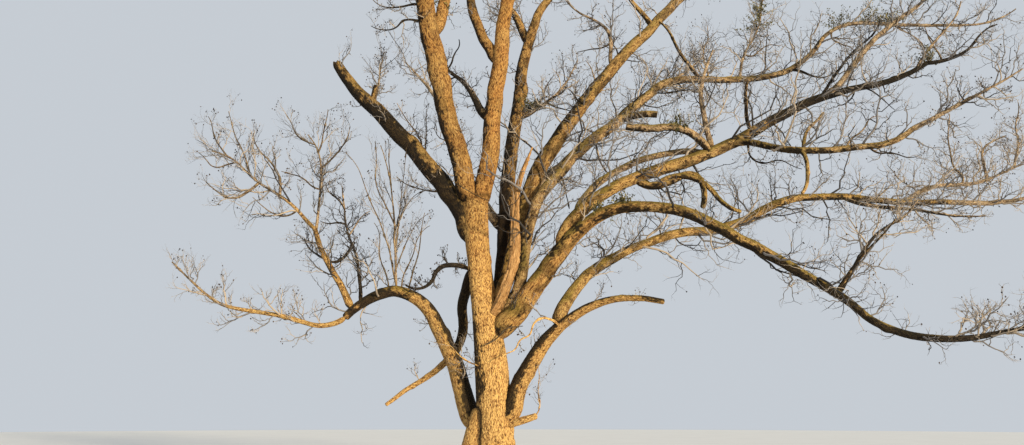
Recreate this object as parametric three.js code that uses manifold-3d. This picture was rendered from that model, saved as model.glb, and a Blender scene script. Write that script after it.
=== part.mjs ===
// An old, open-grown oak in winter: a short trunk with a swollen foot, several leaders that rise
// from two forks, long boughs that reach far out to the right, a broken limb and an arched bough
// on the left, and bare masses of twigs at the ends. Lengths below are in metres, angles in degrees.
// The solids are in millimetres, Z up, with the flat cut of the trunk on Z = 0 round the origin.
import * as THREE from "three";
import Module from "manifold-3d";

const METRE = 1000;
// clear gap between two neighbouring solids, in millimetres, and the smallest edge that is kept
const GAP = 0.4;
const FINEST = 0.03;
const TWIG_FINEST = 2;

// sides of a thick limb, a thin one, the trunk, its lobe, a side branch or stem of twigs, and a twig
const THICK_SIDES = 8;
const THIN_SIDES = 6;
const TRUNK_SIDES = 20;
const LOBE_SIDES = 10;
const STEM_SIDES = 4;
const TWIG_SIDES = 3;
// a limb that starts with at least this girth counts as thick
const THICK_GIRTH = 0.28;
// a centreline is walked in this many steps
const WALK_STEPS = 48;
// a bough swells where it leaves its parent, by this share of its girth
const COLLAR = 0.3;

// root flare of the trunk: share of the radius added at the ground, its height and its ridges
const FLARE = 0.62;
const FLARE_HEIGHT = 0.5;
const FLARE_RIDGES = 6;

// twigs: turn round the stem from one to the next, angle away from it, rise towards the light
const TWIG_TURN = 137.5;
const TWIG_SPREAD = 52;
const TWIG_LIFT = 0.16;
const TWIG_CROOK = 0.24;
// clear distance that a twig keeps from every limb and from the space of the next mass
const TWIG_CLEAR = 0.07;
const TWIG_STEPS = 4;

const BARK = 0xa98a5c;
const BARK_SHADED = 0x8c7350;
const TORN_WOOD = 0xa8653f;
const TWIG_BARK = 0x9c8a6c;

// Each limb leaves its parent ("on") at a fraction of the parent's length ("at"). Girth is the
// diameter, climb the angle above level and bearing the heading (0 right, 90 back, 180 left),
// each at even stages from root to tip.
const LIMBS = {
  trunk: {
    length: 6.9, girth: [1.0, 0.81, 0.79, 0.62, 0.57, 0.66], climb: [86, 88, 82, 83, 87], bearing: [180],
  },
  left_leader: {
    on: "trunk", at: 0.96, length: 8.4, girth: [0.48, 0.5, 0.52, 0.46, 0.28],
    climb: [72, 75, 76, 66, 65], bearing: [-165, -145, -92],
  },
  left_leader_fork: {
    on: "left_leader", at: 0.57, length: 3.5, girth: [0.32, 0.28, 0.16],
    climb: [70, 82, 66, 58], bearing: [5, 67, 83],
  },
  centre_leader: {
    on: "trunk", at: 0.95, length: 8.6, girth: [0.45, 0.46, 0.41, 0.33, 0.18],
    climb: [70, 87, 80, 70, 80], bearing: [-10, -50, -50],
  },
  centre_leader_fork: {
    on: "centre_leader", at: 0.48, length: 4.5, girth: [0.28, 0.25, 0.14],
    climb: [63, 65, 58, 36], bearing: [180, 115, 65],
  },
  back_stem: {
    on: "trunk", at: 0.57, length: 11.2, girth: [0.38, 0.4, 0.38, 0.34, 0.27, 0.16],
    climb: [52, 88, 79, 82, 74, 38], bearing: [50, 63, 17, 34],
  },
  back_stem_fork: {
    on: "back_stem", at: 0.75, length: 3.2, girth: [0.24, 0.2, 0.12],
    climb: [55, 66, 38, 2], bearing: [125, 118, 83],
  },
  steep_right_bough: {
    on: "trunk", at: 0.56, length: 11.9, girth: [0.34, 0.4, 0.4, 0.34, 0.3, 0.27],
    climb: [60, 81, 59, 52, 50, 47], bearing: [18, 12, 30],
  },
  high_right_bough: {
    on: "trunk", at: 0.54, length: 15, girth: [0.26, 0.3, 0.28, 0.3, 0.25, 0.2, 0.18, 0.12],
    climb: [35, 89, 51, 40, 44, 4, 9, 60], bearing: [-16, 27, 21, -14],
  },
  arching_right_bough: {
    on: "trunk", at: 0.5, length: 5.2, girth: [0.52, 0.48, 0.43, 0.32, 0.26],
    climb: [24, 61, 52, 32, -9], bearing: [-15, -15, -24],
  },
  sweeping_right_bough: {
    on: "arching_right_bough", at: 1, length: 6.8, girth: [0.25, 0.26, 0.25, 0.2, 0.16, 0.15],
    climb: [-6, -31, -36, -34, -45, -5], bearing: [-30, -22, -23],
  },
  upper_right_bough: {
    on: "arching_right_bough", at: 0.53, length: 12, girth: [0.33, 0.3, 0.32, 0.3, 0.25, 0.17, 0.12],
    climb: [79, 30, 16, 31, 28, 10, 32], bearing: [6, 7, -2],
  },
  upper_right_twin: {
    on: "upper_right_bough", at: 0.09, length: 4.6, girth: [0.2, 0.18, 0.17, 0.15],
    climb: [66, 36, 16, -17], bearing: [46, 14, -30],
  },
  level_right_bough: {
    on: "upper_right_bough", at: 0.48, length: 4.4, girth: [0.16, 0.17, 0.16, 0.13],
    climb: [-2, -24, -13, -5, -2, 38], bearing: [-37, -27, -27],
  },
  low_right_bough: {
    on: "trunk", at: 0.17, length: 5.7, girth: [0.45, 0.42, 0.36, 0.24, 0.16, 0.12],
    climb: [43, 78, 48, 36, 4, -14], bearing: [-19, -15, -20],
  },
  long_right_bough: {
    on: "low_right_bough", at: 0.53, length: 12.3, girth: [0.32, 0.28, 0.22, 0.24, 0.23, 0.2, 0.17, 0.15],
    climb: [72, 37, 24, 7, 30, 3, -8, -1], bearing: [44, 10, 5, -13],
  },
  broken_left_limb: {
    on: "trunk", at: 0.83, length: 6.9, girth: [0.5, 0.48, 0.46, 0.4, 0.27],
    climb: [65, 62, 49, 47, 47, 57], bearing: [163, 171, 170],
  },
  low_left_bough: {
    on: "trunk", at: 0.17, length: 4.2, girth: [0.46, 0.45, 0.42, 0.38, 0.3],
    climb: [15, 60, 73, 64, 66, 24], bearing: [146, 179, 193],
  },
  arched_left_bough: {
    on: "low_left_bough", at: 1, length: 1.8, girth: [0.3, 0.26, 0.2],
    climb: [24, -10, -32, -52], bearing: [-170, -176],
  },
  left_rising_branch: {
    on: "arched_left_bough", at: 0.89, length: 2.4, girth: [0.19, 0.15, 0.12],
    climb: [65, 59, 60, 67, 66], bearing: [175, 183],
  },
  drooping_left_limb: {
    on: "trunk", at: 0.71, length: 5.1, girth: [0.28, 0.28, 0.24, 0.14, 0.09],
    climb: [88, -56, -96, -53, -31, -37], bearing: [96, 180, 195],
  },
  low_right_stub: {
    on: "trunk", at: 0.19, length: 1.1, girth: [0.24, 0.18, 0.14],
    climb: [15, 19, 14], bearing: [-25, -23],
  },
  torn_spike: {
    on: "trunk", at: 0.55, length: 4.8, girth: [0.22, 0.23, 0.19, 0.02],
    climb: [47, 91, 66], bearing: [-45, 19],
  },
  sawn_right_branch: {
    on: "upper_right_bough", at: 0.43, length: 2.5, girth: [0.2, 0.19, 0.2],
    climb: [38, 24, -8, 13], bearing: [-130, -180, -182],
  },
  back_right_bough: {
    on: "back_stem", at: 0.21, length: 9, girth: [0.3, 0.24, 0.17],
    climb: [56, 42, 37, 39], bearing: [53, 45, 44],
  },
  back_left_bough: {
    on: "back_stem", at: 0.23, length: 5.8, girth: [0.28, 0.22, 0.16],
    climb: [47, 49, 59, 56], bearing: [135, 121, 114],
  },
  front_left_bough: {
    on: "left_leader", at: 0.78, length: 3.9, girth: [0.26, 0.2, 0.15],
    climb: [36, 22, 10], bearing: [-127, -134, -140],
  },
  front_right_bough: {
    on: "centre_leader", at: 0.69, length: 4.9, girth: [0.26, 0.2, 0.15],
    climb: [44, 24, 5], bearing: [-70, -58, -45],
  },
};

// side branches, stubs of sawn or broken ones and a burl, each fused to its limb
const STUBS = [
  {
    on: "high_right_bough", at: 0.48, length: 1.1, girth: [0.2, 0.2, 0.18],
    climb: [25, -11], bearing: [-11, -7],
  },
  {
    on: "broken_left_limb", at: 0.76, length: 0.58, girth: [0.14, 0.11],
    climb: [78], bearing: [-20],
  },
  {
    on: "back_stem", at: 0.6, length: 0.3, girth: [0.24, 0.16],
    climb: [20], bearing: [-20],
  },
  {
    on: "upper_right_bough", at: 0.25, length: 2.5, girth: [0.2, 0.14],
    climb: [-57, 6, 28, -74, -109], bearing: [-20, -13],
  },
  {
    on: "upper_right_bough", at: 0.25, length: 3, girth: [0.2, 0.09],
    climb: [-62, 30, -21, -60, -18], bearing: [-24, -5],
  },
  {
    on: "upper_right_bough", at: 0.54, length: 1.4, girth: [0.11, 0.08],
    climb: [50, 39, 91, 64], bearing: [-140, -56],
  },
  {
    on: "steep_right_bough", at: 0.87, length: 1.4, girth: [0.16, 0.09],
    climb: [48, 32, 56], bearing: [-152, -146],
  },
  {
    on: "high_right_bough", at: 0.71, length: 2.1, girth: [0.13, 0.06],
    climb: [35, 40, 68, 38], bearing: [-141, -167],
  },
  {
    on: "level_right_bough", at: 0.42, length: 1.4, girth: [0.11, 0.08],
    climb: [-44, -69, -76, -50], bearing: [-67, -176],
  },
  {
    on: "level_right_bough", at: 0.44, length: 1.5, girth: [0.1, 0.06],
    climb: [67, 60, 38, 51], bearing: [60, 0],
  },
  {
    on: "sweeping_right_bough", at: 0.71, length: 2, girth: [0.08, 0.03],
    climb: [55, 51, 42, 52], bearing: [-31, -5],
  },
];

// The masses of twigs. The first six sizes are those of the mass's stem, as for a limb. Reach is
// how far its twigs may stand from that stem, twigs their number along it.
const MASSES = {
  far_left_spray: {
    on: "arched_left_bough", at: 0.98, length: 4.8, girth: [0.13, 0.1, 0.03],
    climb: [-49, 20, 6, 14, 43, 40], bearing: [-165, -177, -175], reach: 1.1, twigs: 6,
  },
  left_fan_outer: {
    on: "left_rising_branch", at: 0.97, length: 3.3, girth: [0.1, 0.03],
    climb: [48, 41, 28, 45, 7], bearing: [-160, -170], reach: 1.6, twigs: 6,
  },
  left_fan_inner: {
    on: "left_rising_branch", at: 0.95, length: 3, girth: [0.08, 0.03],
    climb: [79, 82, 73, 51], bearing: [67, 174], reach: 1.5, twigs: 5,
  },
  left_twisted_spray: {
    on: "arched_left_bough", at: 0.76, length: 3.7, girth: [0.1, 0.03],
    climb: [55, 77, 54, 63, 83, 72], bearing: [100, 144, 137], reach: 0.9, twigs: 5,
  },
  left_upright_spray: {
    on: "arched_left_bough", at: 0.22, length: 4.1, girth: [0.07, 0.02],
    climb: [80, 87, 81, 63], bearing: [142, 159], reach: 1.2, twigs: 5,
  },
  dark_left_spray: {
    on: "trunk", at: 0.75, length: 2.2, girth: [0.13, 0.12, 0.04],
    climb: [11, 23, -13, -75, -18, 41], bearing: [168, 191, 176], reach: 0.5, twigs: 4,
  },
  broken_limb_spray: {
    on: "broken_left_limb", at: 0.74, length: 1.7, girth: [0.08, 0.02],
    climb: [84, 82, 85, 79], bearing: [-13, 39], reach: 0.8, twigs: 5,
  },
  left_leader_crown: {
    on: "left_leader", at: 1, length: 3.1, girth: [0.25, 0.04],
    climb: [61, 58, 51], bearing: [-147, -119], reach: 1.8, twigs: 6,
  },
  left_fork_crown: {
    on: "left_leader_fork", at: 1, length: 3.4, girth: [0.15, 0.03],
    climb: [75, 75, 66], bearing: [85, 149], reach: 1.6, twigs: 6,
  },
  centre_crown: {
    on: "centre_leader", at: 1, length: 3.3, girth: [0.18, 0.03],
    climb: [74, 81, 83], bearing: [-66, -15], reach: 1.8, twigs: 7,
  },
  centre_fork_crown: {
    on: "centre_leader_fork", at: 1, length: 3.3, girth: [0.14, 0.03],
    climb: [65, 55, 41], bearing: [90, 118], reach: 1.6, twigs: 6,
  },
  back_crown: {
    on: "back_stem", at: 1, length: 3.1, girth: [0.16, 0.03],
    climb: [62, 57, 52], bearing: [35, 48], reach: 1.7, twigs: 6,
  },
  back_fork_crown: {
    on: "back_stem_fork", at: 1, length: 3.2, girth: [0.12, 0.03],
    climb: [15, 33, 38], bearing: [90, 113], reach: 1.6, twigs: 5,
  },
  back_side_spray: {
    on: "back_stem", at: 0.54, length: 2.9, girth: [0.12, 0.03],
    climb: [16, 41, 57, 66], bearing: [5, 42], reach: 1, twigs: 5,
  },
  steep_right_crown: {
    on: "steep_right_bough", at: 1, length: 3.5, girth: [0.27, 0.04],
    climb: [36, 36, 44], bearing: [50, 23], reach: 1.8, twigs: 6,
  },
  steep_side_spray: {
    on: "steep_right_bough", at: 0.69, length: 2.9, girth: [0.12, 0.09, 0.03],
    climb: [73, 100, 51, 27, 53], bearing: [110, 197], reach: 1.1, twigs: 5,
  },
  high_right_crown: {
    on: "high_right_bough", at: 1, length: 5.8, girth: [0.12, 0.1, 0.03],
    climb: [44, -8, -4, -3, 37], bearing: [-5, -8], reach: 1.3, twigs: 8,
  },
  high_right_spray: {
    on: "high_right_bough", at: 0.8, length: 4, girth: [0.08, 0.03],
    climb: [88, 48, 75, 64], bearing: [26, 38], reach: 1.2, twigs: 5,
  },
  centre_side_spray: {
    on: "centre_leader", at: 0.3, length: 3.1, girth: [0.24, 0.14, 0.04],
    climb: [40, 70, 47, 38, 72], bearing: [152, 141, 168], reach: 0.7, twigs: 4,
  },
  upper_right_crown: {
    on: "upper_right_bough", at: 1, length: 2.3, girth: [0.12, 0.03],
    climb: [0, 20, 58, 11], bearing: [-9, -6], reach: 1.2, twigs: 5,
  },
  upper_right_spray: {
    on: "upper_right_bough", at: 0.44, length: 3.3, girth: [0.15, 0.13, 0.04],
    climb: [73, 84, 70, 64], bearing: [161, -10], reach: 1, twigs: 5,
  },
  rising_right_spray: {
    on: "upper_right_bough", at: 0.74, length: 4.9, girth: [0.17, 0.15, 0.11, 0.03],
    climb: [31, 53, 47, 35, 39, 65], bearing: [-14, -6], reach: 1.4, twigs: 7,
  },
  level_right_spray: {
    on: "level_right_bough", at: 1, length: 2.6, girth: [0.13, 0.03],
    climb: [24, 22, 25, 30], bearing: [-29, -19], reach: 1.3, twigs: 5,
  },
  long_right_crown: {
    on: "long_right_bough", at: 1, length: 2.8, girth: [0.15, 0.13, 0.03],
    climb: [-3, 1, 26], bearing: [-1, -11], reach: 1.2, twigs: 5,
  },
  long_right_riser: {
    on: "long_right_bough", at: 0.92, length: 4.5, girth: [0.13, 0.12, 0.09, 0.03],
    climb: [44, 13, 5, 24, 23], bearing: [20, 6], reach: 1.8, twigs: 6,
  },
  long_right_under_spray: {
    on: "long_right_bough", at: 0.78, length: 3.5, girth: [0.11, 0.09, 0.03],
    climb: [-32, -8, -18, 0], bearing: [-17, -21], reach: 1.2, twigs: 5,
  },
  sweeping_right_spray: {
    on: "sweeping_right_bough", at: 1, length: 2.3, girth: [0.15, 0.04],
    climb: [-6, 11, 11], bearing: [-12, -16], reach: 1.2, twigs: 5,
  },
  sweeping_right_riser: {
    on: "sweeping_right_bough", at: 0.72, length: 3.6, girth: [0.1, 0.03],
    climb: [59, 50, 23, 44], bearing: [7, 33], reach: 1.2, twigs: 5,
  },
  back_right_crown: {
    on: "back_right_bough", at: 1, length: 4.3, girth: [0.17, 0.04],
    climb: [38, 35, 44], bearing: [38, 30], reach: 1.9, twigs: 7,
  },
  back_left_crown: {
    on: "back_left_bough", at: 1, length: 4.2, girth: [0.16, 0.04],
    climb: [46, 43, 44], bearing: [120, 129], reach: 1.9, twigs: 7,
  },
  front_left_crown: {
    on: "front_left_bough", at: 1, length: 2.6, girth: [0.15, 0.04],
    climb: [19, 16, 12], bearing: [-140, -147], reach: 1.7, twigs: 6,
  },
  front_right_crown: {
    on: "front_right_bough", at: 1, length: 3.4, girth: [0.15, 0.04],
    climb: [18, 14, 9], bearing: [-46, -34], reach: 1.8, twigs: 6,
  },
};

// the old root stump grown into the left of the trunk's foot, as high as a person's chest
const LOBE = {
  foot: [-0.62, -0.06], length: 1.72, girth: [0.74, 0.56, 0.48, 0.42], climb: [87, 84, 74], bearing: [5],
};

const DEGREE = Math.PI / 180;
const UP = new THREE.Vector3(0, 0, 1);

// value of evenly spaced stages at a fraction from 0 to 1
function stageValue(stages, fraction) {
  const place = Math.min(Math.max(fraction, 0), 1) * (stages.length - 1);
  const low = Math.floor(place);
  const high = Math.min(low + 1, stages.length - 1);
  return stages[low] + (stages[high] - stages[low]) * (place - low);
}

// direction of a climb and a bearing given in degrees
function heading(climb, bearing) {
  const level = Math.cos(climb * DEGREE);
  const east = level * Math.cos(bearing * DEGREE);
  const north = level * Math.sin(bearing * DEGREE);
  return new THREE.Vector3(east, north, Math.sin(climb * DEGREE));
}

// centreline in metres, walked from the start in even steps
function walk(limb, start) {
  const points = [start.clone()];
  const step = limb.length / WALK_STEPS;
  for (let k = 0; k < WALK_STEPS; k += 1) {
    const fraction = (k + 0.5) / WALK_STEPS;
    const way = heading(stageValue(limb.climb, fraction), stageValue(limb.bearing, fraction));
    points.push(points[k].clone().addScaledVector(way, step));
  }
  return points;
}

// point of a centreline at a fraction of its length
function pointAt(line, fraction) {
  const place = Math.min(Math.max(fraction, 0), 1) * (line.length - 1);
  const low = Math.min(Math.floor(place), line.length - 2);
  return line[low].clone().lerp(line[low + 1], place - low);
}

// radius in metres at a fraction, with the collar where the limb leaves its parent
function radiusAt(limb, fraction) {
  const plain = stageValue(limb.girth, fraction) / 2;
  if (!limb.parentRadius || limb.at === 1) {
    return plain;
  }
  const from = fraction * limb.length;
  const swelling = 1 + COLLAR * Math.exp(-from / (limb.parentRadius + plain));
  if (from < limb.parentRadius) {
    return Math.min(plain * swelling, 0.9 * limb.parentRadius);
  }
  return plain * swelling;
}

// share by which the trunk's foot is wider at a height and an angle round it
function flareShare(height, angle) {
  const fade = Math.exp(-Math.max(height, 0) / FLARE_HEIGHT);
  const ridge = 0.62 + 0.38 * Math.cos(FLARE_RIDGES * angle + 0.7) * Math.cos(angle + 0.4);
  return 1 + FLARE * fade * ridge;
}

// closed solid swept along points: rings of the given radii, each point and radius in metres;
// "grown" adds the clear gap all round and "pointed" closes the end in one point
function tube(wasm, points, radii, sides, options = {}) {
  const { grown = 0, pointed = false, shape = null } = options;
  const count = points.length;
  const ways = points.map((point, k) => {
    const from = points[Math.max(k - 1, 0)];
    const to = points[Math.min(k + 1, count - 1)];
    return to.clone().sub(from).normalize();
  });
  let side = new THREE.Vector3(1, 0, 0);
  if (Math.abs(ways[0].x) > 0.8) {
    side = new THREE.Vector3(0, 1, 0);
  }
  const positions = [];
  const rings = pointed ? count - 1 : count;
  for (let k = 0; k < rings; k += 1) {
    side.addScaledVector(ways[k], -side.dot(ways[k])).normalize();
    const other = ways[k].clone().cross(side);
    const centre = points[k].clone().multiplyScalar(METRE);
    if (k === 0) {
      centre.addScaledVector(ways[k], -grown);
    }
    if (k === count - 1) {
      centre.addScaledVector(ways[k], grown);
    }
    for (let n = 0; n < sides; n += 1) {
      const angle = (2 * Math.PI * n) / sides;
      const share = shape ? shape(points[k].z, angle) : 1;
      const radius = radii[k] * METRE * share + grown;
      const place = centre.clone();
      place.addScaledVector(side, radius * Math.cos(angle));
      place.addScaledVector(other, radius * Math.sin(angle));
      positions.push(place.x, place.y, place.z);
    }
  }
  const faces = [];
  for (let k = 0; k < rings - 1; k += 1) {
    for (let n = 0; n < sides; n += 1) {
      const a = k * sides + n;
      const b = k * sides + ((n + 1) % sides);
      faces.push(a, b, b + sides, a, b + sides, a + sides);
    }
  }
  for (let n = 1; n < sides - 1; n += 1) {
    faces.push(0, n + 1, n);
  }
  const last = (rings - 1) * sides;
  if (pointed) {
    const tip = points[count - 1].clone().multiplyScalar(METRE);
    tip.addScaledVector(ways[count - 1], grown);
    positions.push(tip.x, tip.y, tip.z);
    for (let n = 0; n < sides; n += 1) {
      faces.push(last + n, last + ((n + 1) % sides), last + sides);
    }
  } else {
    for (let n = 1; n < sides - 1; n += 1) {
      faces.push(last, last + n, last + n + 1);
    }
  }
  const mesh = new wasm.Mesh({
    numProp: 3,
    vertProperties: new Float32Array(positions),
    triVerts: new Uint32Array(faces),
  });
  return new wasm.Manifold(mesh);
}

// points and radii at even stations along a limb
function stations(limb, count) {
  const points = [];
  const radii = [];
  for (let k = 0; k < count; k += 1) {
    const fraction = k / (count - 1);
    points.push(pointAt(limb.line, fraction));
    radii.push(radiusAt(limb, fraction));
  }
  return { points, radii };
}

// adds three shrinking rings that round off the top of the trunk or of its lobe
function roundEnd(points, radii) {
  const last = points.length - 1;
  const way = points[last].clone().sub(points[last - 1]).normalize();
  const radius = radii[last];
  for (const turn of [30, 55, 75]) {
    points.push(points[last].clone().addScaledVector(way, radius * 0.6 * Math.sin(turn * DEGREE)));
    radii.push(radius * Math.cos(turn * DEGREE));
  }
}

// trunk: swept from below the ground, flared at its foot, joined with the lobe and cut flat at Z = 0
function trunkSolid(wasm, trunk, lobe, grown) {
  const stem = stations(trunk, 13);
  stem.points[0].z -= 0.2;
  roundEnd(stem.points, stem.radii);
  const body = tube(wasm, stem.points, stem.radii, TRUNK_SIDES, { grown, shape: flareShare });
  const knob = stations(lobe, 6);
  knob.points[0].z -= 0.2;
  roundEnd(knob.points, knob.radii);
  const bump = tube(wasm, knob.points, knob.radii, LOBE_SIDES, { grown, shape: flareShare });
  const box = new THREE.BoxGeometry(8 * METRE, 8 * METRE, 2 * METRE);
  box.translate(0, 0, -METRE);
  return body.add(bump).subtract(fromGeometry(wasm, box));
}

// solid of a box geometry: corners that meet are joined, so that its surface is closed
function fromGeometry(wasm, geometry) {
  const position = geometry.getAttribute("position");
  const index = geometry.getIndex();
  const seen = new Map();
  const corners = [];
  const faces = [];
  for (let k = 0; k < index.count; k += 1) {
    const n = index.getX(k);
    const key = `${position.getX(n)},${position.getY(n)},${position.getZ(n)}`;
    if (!seen.has(key)) {
      seen.set(key, corners.length / 3);
      corners.push(position.getX(n), position.getY(n), position.getZ(n));
    }
    faces.push(seen.get(key));
  }
  const mesh = new wasm.Mesh({
    numProp: 3,
    vertProperties: new Float32Array(corners),
    triVerts: new Uint32Array(faces),
  });
  return new wasm.Manifold(mesh);
}

// number of rings that a limb is swept through
function ringCount(limb) {
  const spacing = limb.reach ? 0.75 : 1;
  return Math.min(Math.max(Math.round(limb.length / spacing) + 1, 4), 14);
}

// number of sides of a limb's rings
function sideCount(limb) {
  if (limb.reach) {
    return STEM_SIDES;
  }
  return limb.girth[0] < THICK_GIRTH ? THIN_SIDES : THICK_SIDES;
}

// solid of any limb but the trunk with its stubs, or the same grown by the gap to cut its neighbours
function limbSolid(wasm, limb, grown) {
  const { points, radii } = stations(limb, ringCount(limb));
  let solid = tube(wasm, points, radii, sideCount(limb), { grown, pointed: limb.pointed });
  for (const stub of STUBS.filter((one) => one.on === limb.name)) {
    const line = walk(stub, pointAt(limb.line, stub.at));
    const piece = stations({ ...stub, line }, 2 + Math.ceil(stub.length));
    solid = solid.add(tube(wasm, piece.points, piece.radii, STEM_SIDES, { grown }));
  }
  return solid;
}

// whether two solids' bounding boxes meet
function boxesMeet(first, second) {
  const a = first.boundingBox();
  const b = second.boundingBox();
  return [0, 1, 2].every((k) => a.min[k] < b.max[k] && b.min[k] < a.max[k]);
}

// what is left of a solid clear of its neighbours: its largest piece
function clearOf(solid, neighbours) {
  let left = solid;
  for (const neighbour of neighbours) {
    if (boxesMeet(left, neighbour)) {
      left = left.subtract(neighbour);
    }
  }
  const pieces = left.decompose();
  pieces.sort((a, b) => b.volume() - a.volume());
  return pieces[0];
}

// a number from 0 to 1 that depends only on a twig's own number and on which throw it is
function chance(number, throwIndex) {
  const wave = Math.sin(number * 12.9898 + throwIndex * 78.233) * 43758.5453;
  return wave - Math.floor(wave);
}

// distance from a point to a centreline less the radius there, in metres
function clearance(point, limb) {
  let nearest = Infinity;
  for (let k = 0; k < limb.coarse.length - 1; k += 1) {
    const a = limb.coarse[k];
    const b = limb.coarse[k + 1];
    const along = b.clone().sub(a);
    const share = point.clone().sub(a).dot(along) / along.lengthSq();
    const clamped = Math.min(Math.max(share, 0), 1);
    const foot = a.clone().addScaledVector(along, clamped);
    const fraction = (k + clamped) / (limb.coarse.length - 1);
    nearest = Math.min(nearest, foot.distanceTo(point) - radiusAt(limb, fraction));
  }
  return nearest;
}

// whether a point lies in the space of a mass: within reach of its stem, nearer to it than to any
// other mass's stem, above the ground and clear of every limb
function inSpace(point, mass, masses, limbs) {
  const own = clearance(point, mass);
  if (own > mass.reach || point.z < TWIG_CLEAR) {
    return false;
  }
  if (masses.some((other) => other !== mass && clearance(point, other) < own + TWIG_CLEAR)) {
    return false;
  }
  return limbs.every((limb) => clearance(point, limb) > TWIG_CLEAR);
}

// centreline of one twig: it leaves its parent at an angle, crooks a little and lifts to the light
function twigLine(number, root, along, turn, spread, length) {
  const level = Math.abs(along.z) > 0.95 ? new THREE.Vector3(1, 0, 0) : UP;
  const across = along.clone().cross(level).normalize();
  const over = across.clone().cross(along);
  const out = across.multiplyScalar(Math.cos(turn)).addScaledVector(over, Math.sin(turn));
  const way = along.clone().multiplyScalar(Math.cos(spread)).addScaledVector(out, Math.sin(spread));
  const line = [root.clone()];
  for (let k = 0; k < TWIG_STEPS; k += 1) {
    way.x += TWIG_CROOK * (chance(number, 3 * k + 11) - 0.5);
    way.y += TWIG_CROOK * (chance(number, 3 * k + 12) - 0.5);
    way.z += TWIG_CROOK * (chance(number, 3 * k + 13) - 0.5) + TWIG_LIFT;
    way.normalize();
    line.push(line[k].clone().addScaledVector(way, length / TWIG_STEPS));
  }
  return line;
}

// the twigs of a mass: first ones along its stem, then two on each of those
function growTwigs(mass, masses, limbs) {
  const grown = [];
  for (let n = 0; n < mass.twigs; n += 1) {
    const number = mass.number * 100 + n;
    const fraction = 0.14 + (0.84 * (n + 0.6 * chance(number, 1))) / mass.twigs;
    const root = pointAt(mass.line, fraction);
    const along = pointAt(mass.line, fraction + 0.03).sub(pointAt(mass.line, fraction - 0.03)).normalize();
    const turn = (TWIG_TURN * n + 40 * chance(number, 2)) * DEGREE;
    const spread = (TWIG_SPREAD + 24 * (chance(number, 3) - 0.5)) * DEGREE;
    const length = mass.reach * (0.7 + 0.35 * chance(number, 4));
    const line = twigLine(number, root, along, turn, spread, length);
    if (!line.slice(1).every((point) => inSpace(point, mass, masses, limbs))) {
      continue;
    }
    const thick = Math.min(0.026, 0.62 * radiusAt(mass, fraction));
    const foot = pointAt(mass.chord, fraction);
    grown.push({ line: [foot, line[2], line[4]], radii: [thick, 0.6 * thick, 0] });
    for (let m = 0; m < 2; m += 1) {
      const childNumber = number * 7 + m + 1;
      const from = line[m + 1];
      const parentWay = line[m + 2].clone().sub(line[m]).normalize();
      const childTurn = (TWIG_TURN * m + 360 * chance(childNumber, 2)) * DEGREE;
      const childSpread = (TWIG_SPREAD + 24 * (chance(childNumber, 3) - 0.5)) * DEGREE;
      const childLength = length * (0.42 + 0.22 * chance(childNumber, 4));
      const childLine = twigLine(childNumber, from, parentWay, childTurn, childSpread, childLength);
      if (childLine.slice(1).every((point) => inSpace(point, mass, masses, limbs))) {
        const childFoot = foot.clone().lerp(line[2], m === 1 ? 0.94 : 0.5);
        grown.push({ line: [childFoot, childLine[4]], radii: [0.009, 0] });
      }
    }
  }
  return grown;
}

// one mass: its stem cut clear of limbs and of earlier stems, with all its twigs fused on
function massSolid(wasm, mass, neighbours, masses, limbs) {
  let solid = limbSolid(wasm, mass, 0);
  for (const twig of growTwigs(mass, masses, limbs)) {
    solid = solid.add(tube(wasm, twig.line, twig.radii, TWIG_SIDES, { pointed: true }));
  }
  return clearOf(solid.simplify(TWIG_FINEST), neighbours);
}

// three.js mesh of a finished solid
function toMesh(solid, name, colour) {
  const made = solid.setTolerance(FINEST).simplify(FINEST).getMesh();
  const geometry = new THREE.BufferGeometry();
  geometry.setAttribute("position", new THREE.BufferAttribute(made.vertProperties, made.numProp));
  geometry.setIndex(new THREE.BufferAttribute(made.triVerts, 1));
  geometry.computeVertexNormals();
  const material = new THREE.MeshStandardMaterial({ color: colour, roughness: 0.95 });
  const mesh = new THREE.Mesh(geometry, material);
  mesh.name = name;
  return mesh;
}

// gives every limb and stem its centreline, its parent's radius and the line through its rings
function placeAll() {
  const placed = {};
  const all = { ...LIMBS, ...MASSES };
  Object.keys(all).forEach((name, number) => {
    const limb = { ...all[name], name, number };
    const parent = placed[limb.on];
    const start = parent ? pointAt(parent.line, limb.at) : new THREE.Vector3();
    limb.line = walk(limb, start);
    limb.parentRadius = parent ? radiusAt(parent, limb.at) : 0;
    limb.coarse = Array.from({ length: 13 }, (unused, k) => pointAt(limb.line, k / 12));
    limb.pointed = Boolean(limb.reach) || name === "torn_spike";
    limb.chord = stations(limb, ringCount(limb)).points;
    placed[name] = limb;
  });
  return placed;
}

const SHADED = ["low_left_bough", "arched_left_bough", "drooping_left_limb", "back_stem", "back_stem_fork"];

function colourOf(name) {
  if (name === "torn_spike") {
    return TORN_WOOD;
  }
  return SHADED.includes(name) ? BARK_SHADED : BARK;
}

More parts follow.
